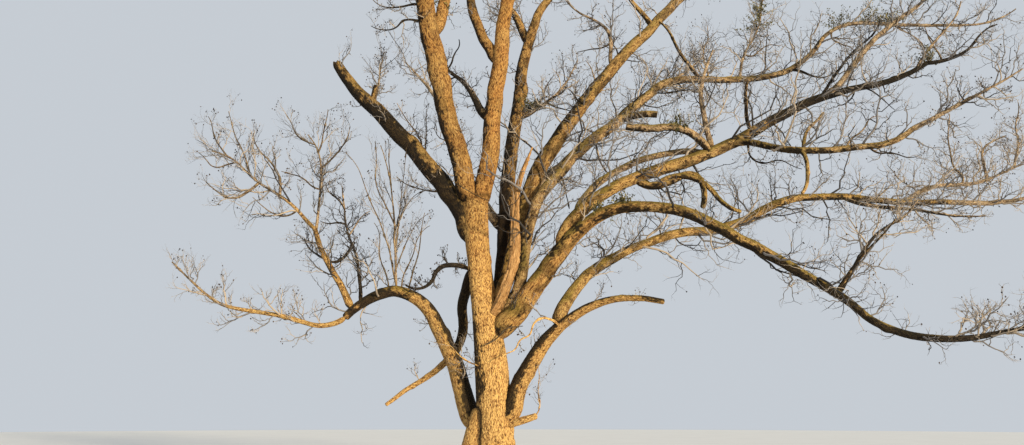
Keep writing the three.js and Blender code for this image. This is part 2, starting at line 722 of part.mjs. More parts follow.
async function buildTree() {
  const wasm = await Module();
  wasm.setup();
  const placed = placeAll();
  const lobe = { ...LOBE, at: 1 };
  lobe.line = walk(lobe, new THREE.Vector3(LOBE.foot[0], LOBE.foot[1], 0));
  const tree = new THREE.Group();
  tree.name = "bare_oak_tree";
  const cutters = [trunkSolid(wasm, placed.trunk, lobe, GAP)];
  tree.add(toMesh(trunkSolid(wasm, placed.trunk, lobe, 0), "trunk", BARK));
  for (const name of Object.keys(LIMBS).slice(1)) {
    const limb = placed[name];
    tree.add(toMesh(clearOf(limbSolid(wasm, limb, 0), cutters), name, colourOf(name)));
    cutters.push(limbSolid(wasm, limb, GAP));
  }
  const limbs = Object.keys(LIMBS).map((name) => placed[name]);
  const masses = Object.keys(MASSES).map((name) => placed[name]);
  for (const mass of masses) {
    tree.add(toMesh(massSolid(wasm, mass, cutters, masses, limbs), mass.name, TWIG_BARK));
    cutters.push(limbSolid(wasm, mass, GAP));
  }
  return tree;
}

export default await buildTree();
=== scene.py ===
"""Looks of an old, open-grown oak in winter: furrowed bark on the trunk and boughs, a broken limb, a torn
splinter, bare twigs carried to their finest shoots, small galls, a few green clumps and a pale stage.
Lengths are in metres and angles in degrees, Z up, with the flat cut of the trunk on Z = 0."""

import math

import bpy
import numpy as np
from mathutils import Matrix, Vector


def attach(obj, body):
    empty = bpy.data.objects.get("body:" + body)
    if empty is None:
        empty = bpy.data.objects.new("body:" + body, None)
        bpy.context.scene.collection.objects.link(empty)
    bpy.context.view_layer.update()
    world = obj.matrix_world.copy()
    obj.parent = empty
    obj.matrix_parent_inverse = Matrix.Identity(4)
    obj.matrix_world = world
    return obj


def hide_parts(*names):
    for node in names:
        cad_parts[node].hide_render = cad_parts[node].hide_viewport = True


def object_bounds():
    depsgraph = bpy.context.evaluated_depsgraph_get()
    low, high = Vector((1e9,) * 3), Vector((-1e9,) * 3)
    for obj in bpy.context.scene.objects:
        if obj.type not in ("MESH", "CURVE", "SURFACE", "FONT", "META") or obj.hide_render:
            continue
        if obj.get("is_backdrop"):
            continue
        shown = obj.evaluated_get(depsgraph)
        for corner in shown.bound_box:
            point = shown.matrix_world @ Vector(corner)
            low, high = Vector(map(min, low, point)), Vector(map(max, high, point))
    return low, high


bl_info = {
    "name": "Bare Oak Tree",
    "version": (1, 0, 0),
    "blender": (4, 5, 0),
    "location": "3D View > Sidebar > Oak",
    "description": "Bark, twigs, galls, green clumps and stage of an old bare oak",
    "category": "Add Mesh",
}

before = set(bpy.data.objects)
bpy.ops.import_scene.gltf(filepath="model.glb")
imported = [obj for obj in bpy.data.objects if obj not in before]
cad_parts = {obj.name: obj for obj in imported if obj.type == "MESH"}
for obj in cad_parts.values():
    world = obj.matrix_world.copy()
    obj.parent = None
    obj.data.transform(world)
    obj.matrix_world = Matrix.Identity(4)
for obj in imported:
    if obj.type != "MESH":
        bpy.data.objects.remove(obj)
CAD_LOW, CAD_HIGH = (np.array(corner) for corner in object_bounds())

# how a centreline is walked and how a limb swells where it leaves its parent
WALK_STEPS = 48
COLLAR = 0.3

# root flare of the trunk: share of the radius added at the ground, its height and its ridges
FLARE = 0.62
FLARE_HEIGHT = 0.5
FLARE_RIDGES = 6

# twigs: turn round the parent from one to the next, angle away from it, rise to the light, crook
TWIG_TURN = 137.5
TWIG_SPREAD = 52
TWIG_LIFT = 0.16
TWIG_CROOK = 0.24
TWIG_CLEAR = 0.07
TWIG_STEPS = 4


def table(rows, *more):
    """Rows as dictionaries by name. Each row holds a limb's name, its parent, the place along the parent
    as a fraction of its length, the length, and at even stages from root to tip the girth across, the
    climb above level and the bearing (0 right, 90 back, 180 left). More names the columns after these."""
    columns = ("on", "at", "length", "girth", "climb", "bearing", *more)
    return {name: {key: value for key, value in zip(columns, row) if value is not None}
            for name, *row in rows}


# The four tables of routes below weren't worked out by hand. For most rows a separate fitting script made
# the length, climb, bearing and place from points picked by eye on the photograph, and for many side
# branches the girth too. The values were then rounded, and some were corrected.

# the trunk and the limbs that have a solid of their own
LIMBS = table([
    ("trunk", None, None, 6.9, [1.0, 0.81, 0.79, 0.62, 0.57, 0.66], [86, 88, 82, 83, 87], [180]),
    ("left_leader", "trunk", 0.96, 8.4, [0.48, 0.5, 0.52, 0.46, 0.28], [72, 75, 76, 66, 65],
     [-165, -145, -92]),
    ("left_leader_fork", "left_leader", 0.57, 3.5, [0.32, 0.28, 0.16], [70, 82, 66, 58], [5, 67, 83]),
    ("centre_leader", "trunk", 0.95, 8.6, [0.45, 0.46, 0.41, 0.33, 0.18], [70, 87, 80, 70, 80],
     [-10, -50, -50]),
    ("centre_leader_fork", "centre_leader", 0.48, 4.5, [0.28, 0.25, 0.14], [63, 65, 58, 36],
     [180, 115, 65]),
    ("back_stem", "trunk", 0.57, 11.2, [0.38, 0.4, 0.38, 0.34, 0.27, 0.16], [52, 88, 79, 82, 74, 38],
     [50, 63, 17, 34]),
    ("back_stem_fork", "back_stem", 0.75, 3.2, [0.24, 0.2, 0.12], [55, 66, 38, 2], [125, 118, 83]),
    ("steep_right_bough", "trunk", 0.56, 11.9, [0.34, 0.4, 0.4, 0.34, 0.3, 0.27], [60, 81, 59, 52, 50, 47],
     [18, 12, 30]),
    ("high_right_bough", "trunk", 0.54, 15, [0.26, 0.3, 0.28, 0.3, 0.25, 0.2, 0.18, 0.12],
     [35, 89, 51, 40, 44, 4, 9, 60], [-16, 27, 21, -14]),
    ("arching_right_bough", "trunk", 0.5, 5.2, [0.52, 0.48, 0.43, 0.32, 0.26], [24, 61, 52, 32, -9],
     [-15, -15, -24]),
    ("sweeping_right_bough", "arching_right_bough", 1, 6.8, [0.25, 0.26, 0.25, 0.2, 0.16, 0.15],
     [-6, -31, -36, -34, -45, -5], [-30, -22, -23]),
    ("upper_right_bough", "arching_right_bough", 0.53, 12, [0.33, 0.3, 0.32, 0.3, 0.25, 0.17, 0.12],
     [79, 30, 16, 31, 28, 10, 32], [6, 7, -2]),
    ("upper_right_twin", "upper_right_bough", 0.09, 4.6, [0.2, 0.18, 0.17, 0.15], [66, 36, 16, -17],
     [46, 14, -30]),
    ("level_right_bough", "upper_right_bough", 0.48, 4.4, [0.16, 0.17, 0.16, 0.13],
     [-2, -24, -13, -5, -2, 38], [-37, -27, -27]),
    ("low_right_bough", "trunk", 0.17, 5.7, [0.45, 0.42, 0.36, 0.24, 0.16, 0.12], [43, 78, 48, 36, 4, -14],
     [-19, -15, -20]),
    ("long_right_bough", "low_right_bough", 0.53, 12.3, [0.32, 0.28, 0.22, 0.24, 0.23, 0.2, 0.17, 0.15],
     [72, 37, 24, 7, 30, 3, -8, -1], [44, 10, 5, -13]),
    ("broken_left_limb", "trunk", 0.83, 6.9, [0.5, 0.48, 0.46, 0.4, 0.27], [65, 62, 49, 47, 47, 57],
     [163, 171, 170]),
    ("low_left_bough", "trunk", 0.17, 4.2, [0.46, 0.45, 0.42, 0.38, 0.3], [15, 60, 73, 64, 66, 24],
     [146, 179, 193]),
    ("arched_left_bough", "low_left_bough", 1, 1.8, [0.3, 0.26, 0.2], [24, -10, -32, -52], [-170, -176]),
    ("left_rising_branch", "arched_left_bough", 0.89, 2.4, [0.19, 0.15, 0.12], [65, 59, 60, 67, 66],
     [175, 183]),
    ("drooping_left_limb", "trunk", 0.71, 5.1, [0.28, 0.28, 0.24, 0.14, 0.09],
     [88, -56, -96, -53, -31, -37], [96, 180, 195]),
    ("low_right_stub", "trunk", 0.19, 1.1, [0.24, 0.18, 0.14], [15, 19, 14], [-25, -23]),
    ("torn_spike", "trunk", 0.55, 4.8, [0.22, 0.23, 0.19, 0.02], [47, 91, 66], [-45, 19]),
    ("sawn_right_branch", "upper_right_bough", 0.43, 2.5, [0.2, 0.19, 0.2], [38, 24, -8, 13],
     [-130, -180, -182]),
    ("back_right_bough", "back_stem", 0.21, 9, [0.3, 0.24, 0.17], [56, 42, 37, 39], [53, 45, 44]),
    ("back_left_bough", "back_stem", 0.23, 5.8, [0.28, 0.22, 0.16], [47, 49, 59, 56], [135, 121, 114]),
    ("front_left_bough", "left_leader", 0.78, 3.9, [0.26, 0.2, 0.15], [36, 22, 10], [-127, -134, -140]),
    ("front_right_bough", "centre_leader", 0.69, 4.9, [0.26, 0.2, 0.15], [44, 24, 5], [-70, -58, -45]),
])

# side branches, stubs and the burl, which share their limb's solid
STUBS = table([
    ("high_stub", "high_right_bough", 0.48, 1.1, [0.2, 0.2, 0.18], [25, -11], [-11, -7]),
    ("limb_stub", "broken_left_limb", 0.76, 0.58, [0.14, 0.11], [78], [-20]),
    ("burl", "back_stem", 0.6, 0.3, [0.24, 0.16], [20], [-20]),
    ("hooked_branch", "upper_right_bough", 0.25, 2.5, [0.2, 0.14], [-57, 6, 28, -74, -109], [-20, -13]),
    ("under_branch", "upper_right_bough", 0.25, 3, [0.2, 0.09], [-62, 30, -21, -60, -18], [-24, -5]),
    ("upright_link", "upper_right_bough", 0.54, 1.4, [0.11, 0.08], [50, 39, 91, 64], [-140, -56]),
    ("steep_side_branch", "steep_right_bough", 0.87, 1.4, [0.16, 0.09], [48, 32, 56], [-152, -146]),
    ("high_left_branch", "high_right_bough", 0.71, 2.1, [0.13, 0.06], [35, 40, 68, 38], [-141, -167]),
    ("hanging_branch", "level_right_bough", 0.42, 1.4, [0.11, 0.08], [-44, -69, -76, -50], [-67, -176]),
    ("rising_branch", "level_right_bough", 0.44, 1.5, [0.1, 0.06], [67, 60, 38, 51], [60, 0]),
    ("sweep_riser", "sweeping_right_bough", 0.71, 2, [0.08, 0.03], [55, 51, 42, 52], [-31, -5]),
])

# stems of the masses of twigs, each with the reach of its space and the number of the source's twigs
MASSES = table([
    ("far_left_spray", "arched_left_bough", 0.98, 4.8, [0.13, 0.1, 0.03], [-49, 20, 6, 14, 43, 40],
     [-165, -177, -175], 1.1, 6),
    ("left_fan_outer", "left_rising_branch", 0.97, 3.3, [0.1, 0.03], [48, 41, 28, 45, 7], [-160, -170], 1.6,
     6),
    ("left_fan_inner", "left_rising_branch", 0.95, 3, [0.08, 0.03], [79, 82, 73, 51], [67, 174], 1.5, 5),
    ("left_twisted_spray", "arched_left_bough", 0.76, 3.7, [0.1, 0.03], [55, 77, 54, 63, 83, 72],
     [100, 144, 137], 0.9, 5),
    ("left_upright_spray", "arched_left_bough", 0.22, 4.1, [0.07, 0.02], [80, 87, 81, 63], [142, 159], 1.2,
     5),
    ("dark_left_spray", "trunk", 0.75, 2.2, [0.13, 0.12, 0.04], [11, 23, -13, -75, -18, 41],
     [168, 191, 176], 0.5, 4),
    ("broken_limb_spray", "broken_left_limb", 0.74, 1.7, [0.08, 0.02], [84, 82, 85, 79], [-13, 39], 0.8, 5),
    ("left_leader_crown", "left_leader", 1, 3.1, [0.25, 0.04], [61, 58, 51], [-147, -119], 1.8, 6),
    ("left_fork_crown", "left_leader_fork", 1, 3.4, [0.15, 0.03], [75, 75, 66], [85, 149], 1.6, 6),
    ("centre_crown", "centre_leader", 1, 3.3, [0.18, 0.03], [74, 81, 83], [-66, -15], 1.8, 7),
    ("centre_fork_crown", "centre_leader_fork", 1, 3.3, [0.14, 0.03], [65, 55, 41], [90, 118], 1.6, 6),
    ("back_crown", "back_stem", 1, 3.1, [0.16, 0.03], [62, 57, 52], [35, 48], 1.7, 6),
    ("back_fork_crown", "back_stem_fork", 1, 3.2, [0.12, 0.03], [15, 33, 38], [90, 113], 1.6, 5),
    ("back_side_spray", "back_stem", 0.54, 2.9, [0.12, 0.03], [16, 41, 57, 66], [5, 42], 1, 5),
    ("steep_right_crown", "steep_right_bough", 1, 3.5, [0.27, 0.04], [36, 36, 44], [50, 23], 1.8, 6),
    ("steep_side_spray", "steep_right_bough", 0.69, 2.9, [0.12, 0.09, 0.03], [73, 100, 51, 27, 53],
     [110, 197], 1.1, 5),
    ("high_right_crown", "high_right_bough", 1, 5.8, [0.12, 0.1, 0.03], [44, -8, -4, -3, 37], [-5, -8], 1.3,
     8),
    ("high_right_spray", "high_right_bough", 0.8, 4, [0.08, 0.03], [88, 48, 75, 64], [26, 38], 1.2, 5),
    ("centre_side_spray", "centre_leader", 0.3, 3.1, [0.24, 0.14, 0.04], [40, 70, 47, 38, 72],
     [152, 141, 168], 0.7, 4),
    ("upper_right_crown", "upper_right_bough", 1, 2.3, [0.12, 0.03], [0, 20, 58, 11], [-9, -6], 1.2, 5),
    ("upper_right_spray", "upper_right_bough", 0.44, 3.3, [0.15, 0.13, 0.04], [73, 84, 70, 64], [161, -10],
     1, 5),
    ("rising_right_spray", "upper_right_bough", 0.74, 4.9, [0.17, 0.15, 0.11, 0.03],
     [31, 53, 47, 35, 39, 65], [-14, -6], 1.4, 7),
    ("level_right_spray", "level_right_bough", 1, 2.6, [0.13, 0.03], [24, 22, 25, 30], [-29, -19], 1.3, 5),
    ("long_right_crown", "long_right_bough", 1, 2.8, [0.15, 0.13, 0.03], [-3, 1, 26], [-1, -11], 1.2, 5),
    ("long_right_riser", "long_right_bough", 0.92, 4.5, [0.13, 0.12, 0.09, 0.03], [44, 13, 5, 24, 23],
     [20, 6], 1.8, 6),
    ("long_right_under_spray", "long_right_bough", 0.78, 3.5, [0.11, 0.09, 0.03], [-32, -8, -18, 0],
     [-17, -21], 1.2, 5),
    ("sweeping_right_spray", "sweeping_right_bough", 1, 2.3, [0.15, 0.04], [-6, 11, 11], [-12, -16], 1.2,
     5),
    ("sweeping_right_riser", "sweeping_right_bough", 0.72, 3.6, [0.1, 0.03], [59, 50, 23, 44], [7, 33], 1.2,
     5),
    ("back_right_crown", "back_right_bough", 1, 4.3, [0.17, 0.04], [38, 35, 44], [38, 30], 1.9, 7),
    ("back_left_crown", "back_left_bough", 1, 4.2, [0.16, 0.04], [46, 43, 44], [120, 129], 1.9, 7),
    ("front_left_crown", "front_left_bough", 1, 2.6, [0.15, 0.04], [19, 16, 12], [-140, -147], 1.7, 6),
    ("front_right_crown", "front_right_bough", 1, 3.4, [0.15, 0.04], [18, 14, 9], [-46, -34], 1.8, 6),
], "reach", "twigs")

# the old root stump grown into the left of the trunk's foot
LOBE = dict(
    length=1.72, girth=[0.84, 0.62, 0.5, 0.42], climb=[87, 84, 74], bearing=[5],
    start=[-0.65, -0.07, 0],
)

# the burl as it shows: it swells out of a long stretch of its stem, beside the stem's middle
BURL = dict(length=0.5, girth=[0.12, 0.27, 0.3, 0.2], low=-0.2, high=0.3, lean=0.1, aside=[0.09, -0.02, 0])

# the thinner strand beside the torn splinter, and where it starts against the splinter's line
THIN_STRAND = dict(length=3.7, girth=[0.12, 0.15, 0.11, 0.015], climb=[47, 90, 80], bearing=[-35, 10])
STRAND_STEP, STRAND_ASIDE = 4, [-0.05, -0.06, 0]

# which limbs end in a sawn face and which in a splintered break; the others close in a dome
ENDS = dict(sawn_right_branch="sawn", high_stub="sawn", limb_stub="sawn", broken_left_limb="broken")

# the usual tones of a limb that the tables below don't name, and over how many radii of its parent a limb
# changes from its parent's tone to its own
USUAL = dict(moss=[0.15], damp=[0.22], bright=[0.9], hue=[-0.45], mottled=0.75)
TONE_REACH = 2.5

# how green with moss the upper side of a limb is, from 0 to 1
MOSS = dict(
    arching_right_bough=[0.95], sweeping_right_bough=[0.95], upper_right_bough=[0.9], upper_right_twin=[0.9],
    high_right_bough=[0.75], long_right_bough=[0.85], level_right_bough=[0.7], sawn_right_branch=[0.9],
    low_right_bough=[0.7], steep_right_bough=[0.6], arched_left_bough=[0.8], low_left_bough=[0.45],
    broken_left_limb=[0.3], back_right_bough=[0.5],
)
# how black a limb is with algae and with painted shade, at even stages from root to tip: at 0.5 its shaded
# half is black, at 1 all of it
DAMP_AND_SHADE = dict(
    trunk=[0.36, 0.42, 0.4, 0.33, 0.3], left_leader=[0.4, 0.38, 0.35], centre_leader=[0.45, 0.35, 0.3],
    left_leader_fork=[0.4], centre_leader_fork=[0.45],
    back_stem=[0.85, 0.85, 0.7, 0.55, 0.45, 0.4], back_stem_fork=[0.6, 0.5],
    broken_left_limb=[0.4, 0.45, 0.8, 0.95, 0.65, 0.6, 0.95, 1, 0.75, 0.58, 0.6, 0.6],
    steep_right_bough=[0.35, 0.45, 0.6, 0.5, 0.5],
    upper_right_bough=[0.35, 0.45, 0.5, 0.6, 1, 1, 1], sweeping_right_bough=[0.4, 0.5, 0.6, 0.72, 0.8],
    high_right_bough=[0.45, 0.5, 0.5, 0.6, 0.45, 0.55], arching_right_bough=[0.35, 0.45],
    sawn_right_branch=[0.6, 0.5, 0.5], long_right_bough=[0.35, 0.45, 0.4, 0.55, 0.6],
    level_right_bough=[0.4, 0.4, 0.35], low_right_bough=[0.62, 0.6, 0.5, 0.35, 0.5],
    arched_left_bough=[0.35, 0.7, 0.78, 0.75, 0.8], drooping_left_limb=[1, 0.95, 0.5, 0.15],
    low_left_bough=[0.75, 0.66, 0.5, 0.4, 0.4], left_rising_branch=[0.35, 0.3],
    dark_left_spray=[1], left_twisted_spray=[1, 0.9, 0.6], dark_hook=[1], centre_side_spray=[0.7, 1, 0.9],
    side_hook=[1], leader_low=[1], leader_high=[0.7], upper_right_crown=[1], dark_runner=[1, 1],
    rising_dark=[1], high_low_side=[0.9], under_twig=[1], upper_drop=[1], hanging_dark=[0.5],
    hanging_small=[1], limb_twig=[1], twist_left=[1], twist_up=[1], side_dark=[1], back_low=[1],
    steep_twig=[1], long_right_under_spray=[0.6, 0.5],
    sweeping_right_spray=[0.8, 0.95, 0.7], sweeping_right_riser=[1, 0.8], low_right_stub=[0.1],
    dead_branch=[0], back_dead=[0.3, 1], level_low=[0.9],
)
# where the side of a limb that is black with algae and painted shade faces: low on the left, away from the
# low light, but for these, where it faces the trunk and up
DAMP_AND_SHADE_SIDE = (-0.8, 0.25, -0.5)
DAMP_AND_SHADE_SIDES = dict(low_left_bough=(0.9, 0.1, 0.3), low_right_bough=(-0.85, 0.1, 0.5))
# how light a limb's bark is against the trunk's, at even stages from root to tip: partly its own tone,
# partly painted light and shade, lighter where a limb stands in the sun and darker where it lies in shade
TONE_AND_PAINTED_LIGHT = dict(
    trunk=[1.1, 1.25, 1.2, 0.95], left_leader=[0.86, 0.76, 0.82, 0.9], left_leader_fork=[0.85],
    centre_leader=[0.92, 0.9], centre_leader_fork=[0.8], back_stem=[0.66, 0.6, 0.66, 0.75],
    steep_right_bough=[0.85, 0.75, 0.7, 0.78], high_right_bough=[0.75, 0.8, 0.85, 0.95],
    upper_right_bough=[0.82, 0.9, 0.85, 0.8, 0.5, 0.4, 0.4], upper_right_twin=[0.85],
    arching_right_bough=[0.92],
    low_right_bough=[1.1, 1.0, 0.9, 0.9], long_right_bough=[0.8, 0.95, 1.05], low_left_bough=[0.9],
    broken_left_limb=[0.7, 0.65, 0.55, 0.62], drooping_left_limb=[0.5, 0.9, 1.2], low_right_stub=[1.3],
    level_right_bough=[0.95, 1.15, 1.15], dead_branch=[1.5], sprout=[1.3], lobe=[1.1, 1.0],
    left_fan_outer=[1.0, 0.85, 0.55], left_fan_inner=[0.95, 0.75, 0.5], far_left_spray=[1.0, 1.0, 0.6],
    fan_hook=[0.5], fan_second=[0.8, 0.5], fan_right=[0.55], fan_link=[0.5], fan_top=[0.5],
    fan_small=[0.5], fan_low=[0.55], fan_rise=[0.55], fan_tip=[0.45], fan_high=[0.45],
    left_upright_spray=[0.85, 0.6], vase_fork=[0.5], vase_right=[0.5], vase_left=[0.6], vase_mid=[0.5],
    vase_low=[0.5], vase_tall=[0.5], arch_one=[0.5], arch_two=[0.5], arch_three=[0.5],
    trunk_creeper=[0.35], leader_creeper=[0.35], trunk_twig=[1.2],
)
# how strongly dark patches about 0.1 m across mottle a limb's bark, from 0 to 1
MOTTLED = dict(
    trunk=0.08, lobe=0.15, left_leader=0.3, left_leader_fork=0.3, centre_leader=0.25,
    centre_leader_fork=0.3, low_left_bough=0.15, low_right_bough=0.08, drooping_left_limb=0.1,
    low_right_stub=0.05, sawn_right_branch=0.4, dead_branch=0, sprout=0, far_left_spray=0.2,
)
# how red a limb's bark is, up to 1, or how grey, down to -1, at even stages from root to tip
HUE = dict(
    trunk=[0.1, 0.15, 0.3, 0.6], left_leader=[0.65, 0.7, 0.6], left_leader_fork=[0.6],
    centre_leader=[0.7, 0.8, 0.7], centre_leader_fork=[0.6], back_stem=[0.5, 0.35, 0.3],
    back_stem_fork=[0.3], steep_right_bough=[0.6, 0.2, -0.1], high_right_bough=[-0.1, -0.25],
    arching_right_bough=[0.5], sweeping_right_bough=[0.1, -0.15], upper_right_bough=[0.2, -0.1, -0.2],
    upper_right_twin=[-0.3], level_right_bough=[0.0, -0.2], low_right_bough=[0.3], long_right_bough=[0.0],
    broken_left_limb=[0.1], low_left_bough=[0.25], arched_left_bough=[0.3], left_rising_branch=[0.2],
    far_left_spray=[0.0, 0.0, -0.5], left_fan_outer=[0.0, -0.3, -0.7], lobe=[0.1, 0.3],
    trunk_twig=[0.0], sawn_right_branch=[-0.3], drooping_left_limb=[0.2],
    low_right_stub=[0.0], dead_branch=[0.0], sprout=[0.0],
)
# masses whose twigs rise steeply in slender rods
SLENDER = ["left_upright_spray"]
# how far the twigs of a mass spread and crook, against the usual
SPREAD = dict(left_fan_outer=0.75, left_fan_inner=0.75, far_left_spray=0.8, left_upright_spray=0.6)
# how many further twigs a mass grows, against the usual number
DENSITY = dict(
    left_upright_spray=0.3, high_right_spray=1.6, back_right_crown=1.2, long_right_riser=1.5,
    left_twisted_spray=1.2, upper_right_crown=0.3, high_right_crown=0.7, back_left_crown=0.3, side_hook=0,
    trunk_creeper=0, leader_creeper=0, dead_branch=0.4, long_right_under_spray=1.2, centre_side_spray=0.8,
    left_fan_outer=0.75, left_fan_inner=0.8, far_left_spray=1.3, arch_one=0.5, arch_two=0.5, arch_three=0.5,
    rising_right_spray=0.7, back_side_spray=0.8, steep_side_spray=0.7,
)
# the masses whose fine twigs look darkest, painted dark for dark bark and for shade, and those that catch
# the light, painted pale as lit
DARK_AND_SHADED_MASSES = ["dark_left_spray", "left_twisted_spray", "centre_side_spray"]
PALE_MASSES = [
    "far_left_spray", "long_right_under_spray", "sweeping_right_spray",
    "sweeping_right_riser", "long_right_crown", "long_right_riser",
]

# side branches of the limbs and stems that are too thin for the solids
SIDE_BRANCHES = table([
    ("fan_hook", "left_fan_outer", 0.56, 1.6, [0.074, 0.022], [-52, -40, 35, 43], [-150, -184]),
    ("dark_hook", "left_twisted_spray", 0.5, 1.8, [0.087, 0.031], [-64, -50, 24, 40, 71], [-135, -201]),
    ("fan_second", "left_fan_outer", 0.38, 2.2, [0.074, 0.022], [94, 52, 37, 90], [114, 200]),
    ("dead_branch", "low_right_bough", 0.54, 2, [0.064, 0.025], [32, 18, 8, -35, -77, -14, -73, -19, -38],
     [-106, -202, -172]),
    ("sprout", "low_right_stub", 0.97, 1.3, [0.033, 0.012], [37, 106, 80, 104], [-21]),
    ("leader_low", "left_leader", 0.64, 1.6, [0.074, 0.019], [-6, 1, -58, -4, 31], [-165, -171]),
    ("leader_high", "left_leader", 0.69, 1.6, [0.074, 0.019], [30, -8, 10, 51], [162, 175]),
    ("side_hook", "centre_side_spray", 0.81, 1, [0.06, 0.025], [44, 81, 55, 109], [0]),
    ("back_dead", "back_stem", 0.53, 1.8, [0.087, 0.019], [-6, 18, 41, 18, 86], [-37, 0]),
    ("trunk_twig", "trunk", 0.4, 1.7, [0.046, 0.012], [0, 18, 45, -11], [-139, -158]),
    ("high_riser_two", "high_right_bough", 0.73, 2.0, [0.06, 0.019], [81, 76, 128, 72], [78, 285]),
    ("high_side", "high_right_spray", 0.24, 1.1, [0.056, 0.019], [-57, 41, 30, -29], [-12]),
    ("dark_runner", "high_right_bough", 0.59, 1.3, [0.052, 0.017], [-29, 1, 6, -19], [-15]),
    ("crown_link", "high_right_crown", 0.07, 1.2, [0.056, 0.019], [-43, -132, -155, -91], [-202]),
    ("rising_dark", "upper_right_bough", 0.73, 3.1, [0.089, 0.035], [53, 55, 50, 36, 70], [4, 1]),
    ("high_low_side", "high_right_bough", 0.9, 1.3, [0.098, 0.028], [0, -33, -23, 39], [-15]),
    ("golden_riser", "upper_right_bough", 0.97, 2.4, [0.081, 0.034], [63, 49, 45, 75], [-10, -12]),
    ("crown_riser", "upper_right_crown", 0.17, 1.3, [0.055, 0.021], [82, 66, 75, 81], [113]),
    ("crown_drop", "high_right_crown", 0.38, 1.3, [0.055, 0.019], [-42, -18, -36, -88], [11]),
    ("under_twig", "upper_right_bough", 0.83, 1.1, [0.05, 0.017], [-10, -56, -48], [-13]),
    ("long_riser_one", "long_right_riser", 0.49, 2.2, [0.068, 0.021], [142, 31, 80, 88, 74, 83],
     [-205, -26]),
    ("long_riser_two", "long_right_riser", 0.69, 2.0, [0.085, 0.037], [50, 110, 50, 26, 19], [63, -6]),
    ("long_riser_three", "long_right_riser", 0.92, 2.0, [0.08, 0.022], [77, 70, 96, 67, 91], [-27, -39]),
    ("upper_drop", "upper_right_bough", 0.52, 2.0, [0.061, 0.016], [-67, -91, -35, 19, -39, -14], [-45, 0]),
    ("hanging_dark", "high_right_bough", 0.42, 2.4, [0.055, 0.019], [-80, -73, -48, -53, -80], [-62, -51]),
    ("hanging_small", "high_right_bough", 0.3, 1.2, [0.052, 0.019], [-24, -68, -72, -73], [-63]),
    ("fan_right", "left_fan_inner", 0.61, 1.4, [0.059, 0.017], [44, 42, 59, 89], [-8, -23]),
    ("fan_link", "left_fan_inner", 0.41, 1.3, [0.048, 0.017], [10, 49, 16, 17], [170]),
    ("fan_top", "left_fan_inner", 0.88, 1.4, [0.05, 0.017], [17, 34, 69, 53], [170]),
    ("fan_small", "left_fan_outer", 0.8, 1.1, [0.047, 0.015], [-18, -28, 52, 38], [-167]),
    ("fan_low", "left_fan_outer", 0.21, 1.3, [0.052, 0.015], [-55, 3, 38, 45], [-165]),
    ("vase_fork", "left_upright_spray", 0.7, 1.4, [0.037, 0.012], [79, 77, 83, 76], [126]),
    ("vase_right", "left_upright_spray", 0.41, 1.3, [0.039, 0.012], [62, 63, 53, 4], [-15]),
    ("vase_left", "left_upright_spray", 0.03, 4.0, [0.048, 0.014], [78, 75, 62, 72, 41], [173, 175]),
    ("vase_mid", "left_upright_spray", 0.27, 2.7, [0.039, 0.012], [80, 85, 79, 86], [-44, -58]),
    ("vase_low", "left_upright_spray", 0.14, 1.8, [0.039, 0.012], [72, 70, 64, 32], [31, 16]),
    ("fan_rise", "left_fan_outer", 0.65, 2.1, [0.047, 0.016], [67, 69, 51, 68, 70], [156, 161]),
    ("fan_tip", "left_fan_outer", 0.88, 1.4, [0.042, 0.016], [47, 52, 74, 51], [171, 155]),
    ("fan_high", "left_fan_inner", 0.79, 1.2, [0.05, 0.017], [49, 87, 57, 92], [-38, -58]),
    ("twist_left", "left_twisted_spray", 0.69, 0.7, [0.059, 0.017], [22, -17, 30], [-163]),
    ("twist_up", "left_twisted_spray", 0.82, 0.9, [0.06, 0.017], [65, 27, 89], [-159]),
    ("twist_right", "left_twisted_spray", 0.59, 0.9, [0.053, 0.017], [57, 57, 17], [-17]),
    ("limb_twig", "broken_left_limb", 0.26, 1.4, [0.052, 0.016], [-12, 4, 14, 47], [-163]),
    ("between_one", "broken_left_limb", 0.41, 1.7, [0.053, 0.017], [72, 85, 82, 77], [99]),
    ("between_two", "broken_left_limb", 0.49, 1.6, [0.054, 0.017], [0, 112, 142, 127, 122], [33]),
    ("side_dark", "steep_side_spray", 0.3, 1.1, [0.058, 0.017], [-47, -12, -18], [-168]),
    ("back_low", "back_side_spray", 0.35, 0.9, [0.057, 0.017], [-41, -18, -16], [-8]),
    ("steep_twig", "steep_right_bough", 0.56, 0.7, [0.055, 0.017], [44, 52, 23], [-156]),
    ("steep_rise", "steep_right_bough", 0.63, 0.9, [0.056, 0.017], [70, 77, 51], [157]),
    ("level_low", "level_right_bough", 0.77, 1.2, [0.052, 0.014], [-70, 3, -34, 31], [-16]),
    ("arch_one", "arched_left_bough", 0.06, 2.2, [0.046, 0.016], [84, 71, 90, 75], [6, 29]),
    ("arch_two", "arched_left_bough", 0.15, 1.9, [0.041, 0.015], [96, 58, 77, 23], [-47, -10]),
    ("arch_three", "arched_left_bough", 0.33, 2.0, [0.041, 0.016], [84, 60, 92, 43], [153, 144]),
    ("vase_tall", "left_upright_spray", 0.44, 2.5, [0.043, 0.017], [65, 59, 93, 74], [176, 139]),
    ("trunk_creeper", "trunk", 0.48, 1.14, [0.04, 0.018], [4, 35, 51, 7, 7], [-29, 14, 23],
     [-0.13, -0.4, -0.02]),
    ("leader_creeper", "left_leader", 0.12, 1.04, [0.03, 0.014], [-34, -33, -14], [-18, 16],
     [-0.22, -0.3, -0.19]),
    ("level_rise", "level_right_bough", 0.66, 1.6, [0.058, 0.015], [64, 28, 59, -2], [21, 14]),
], "shift")

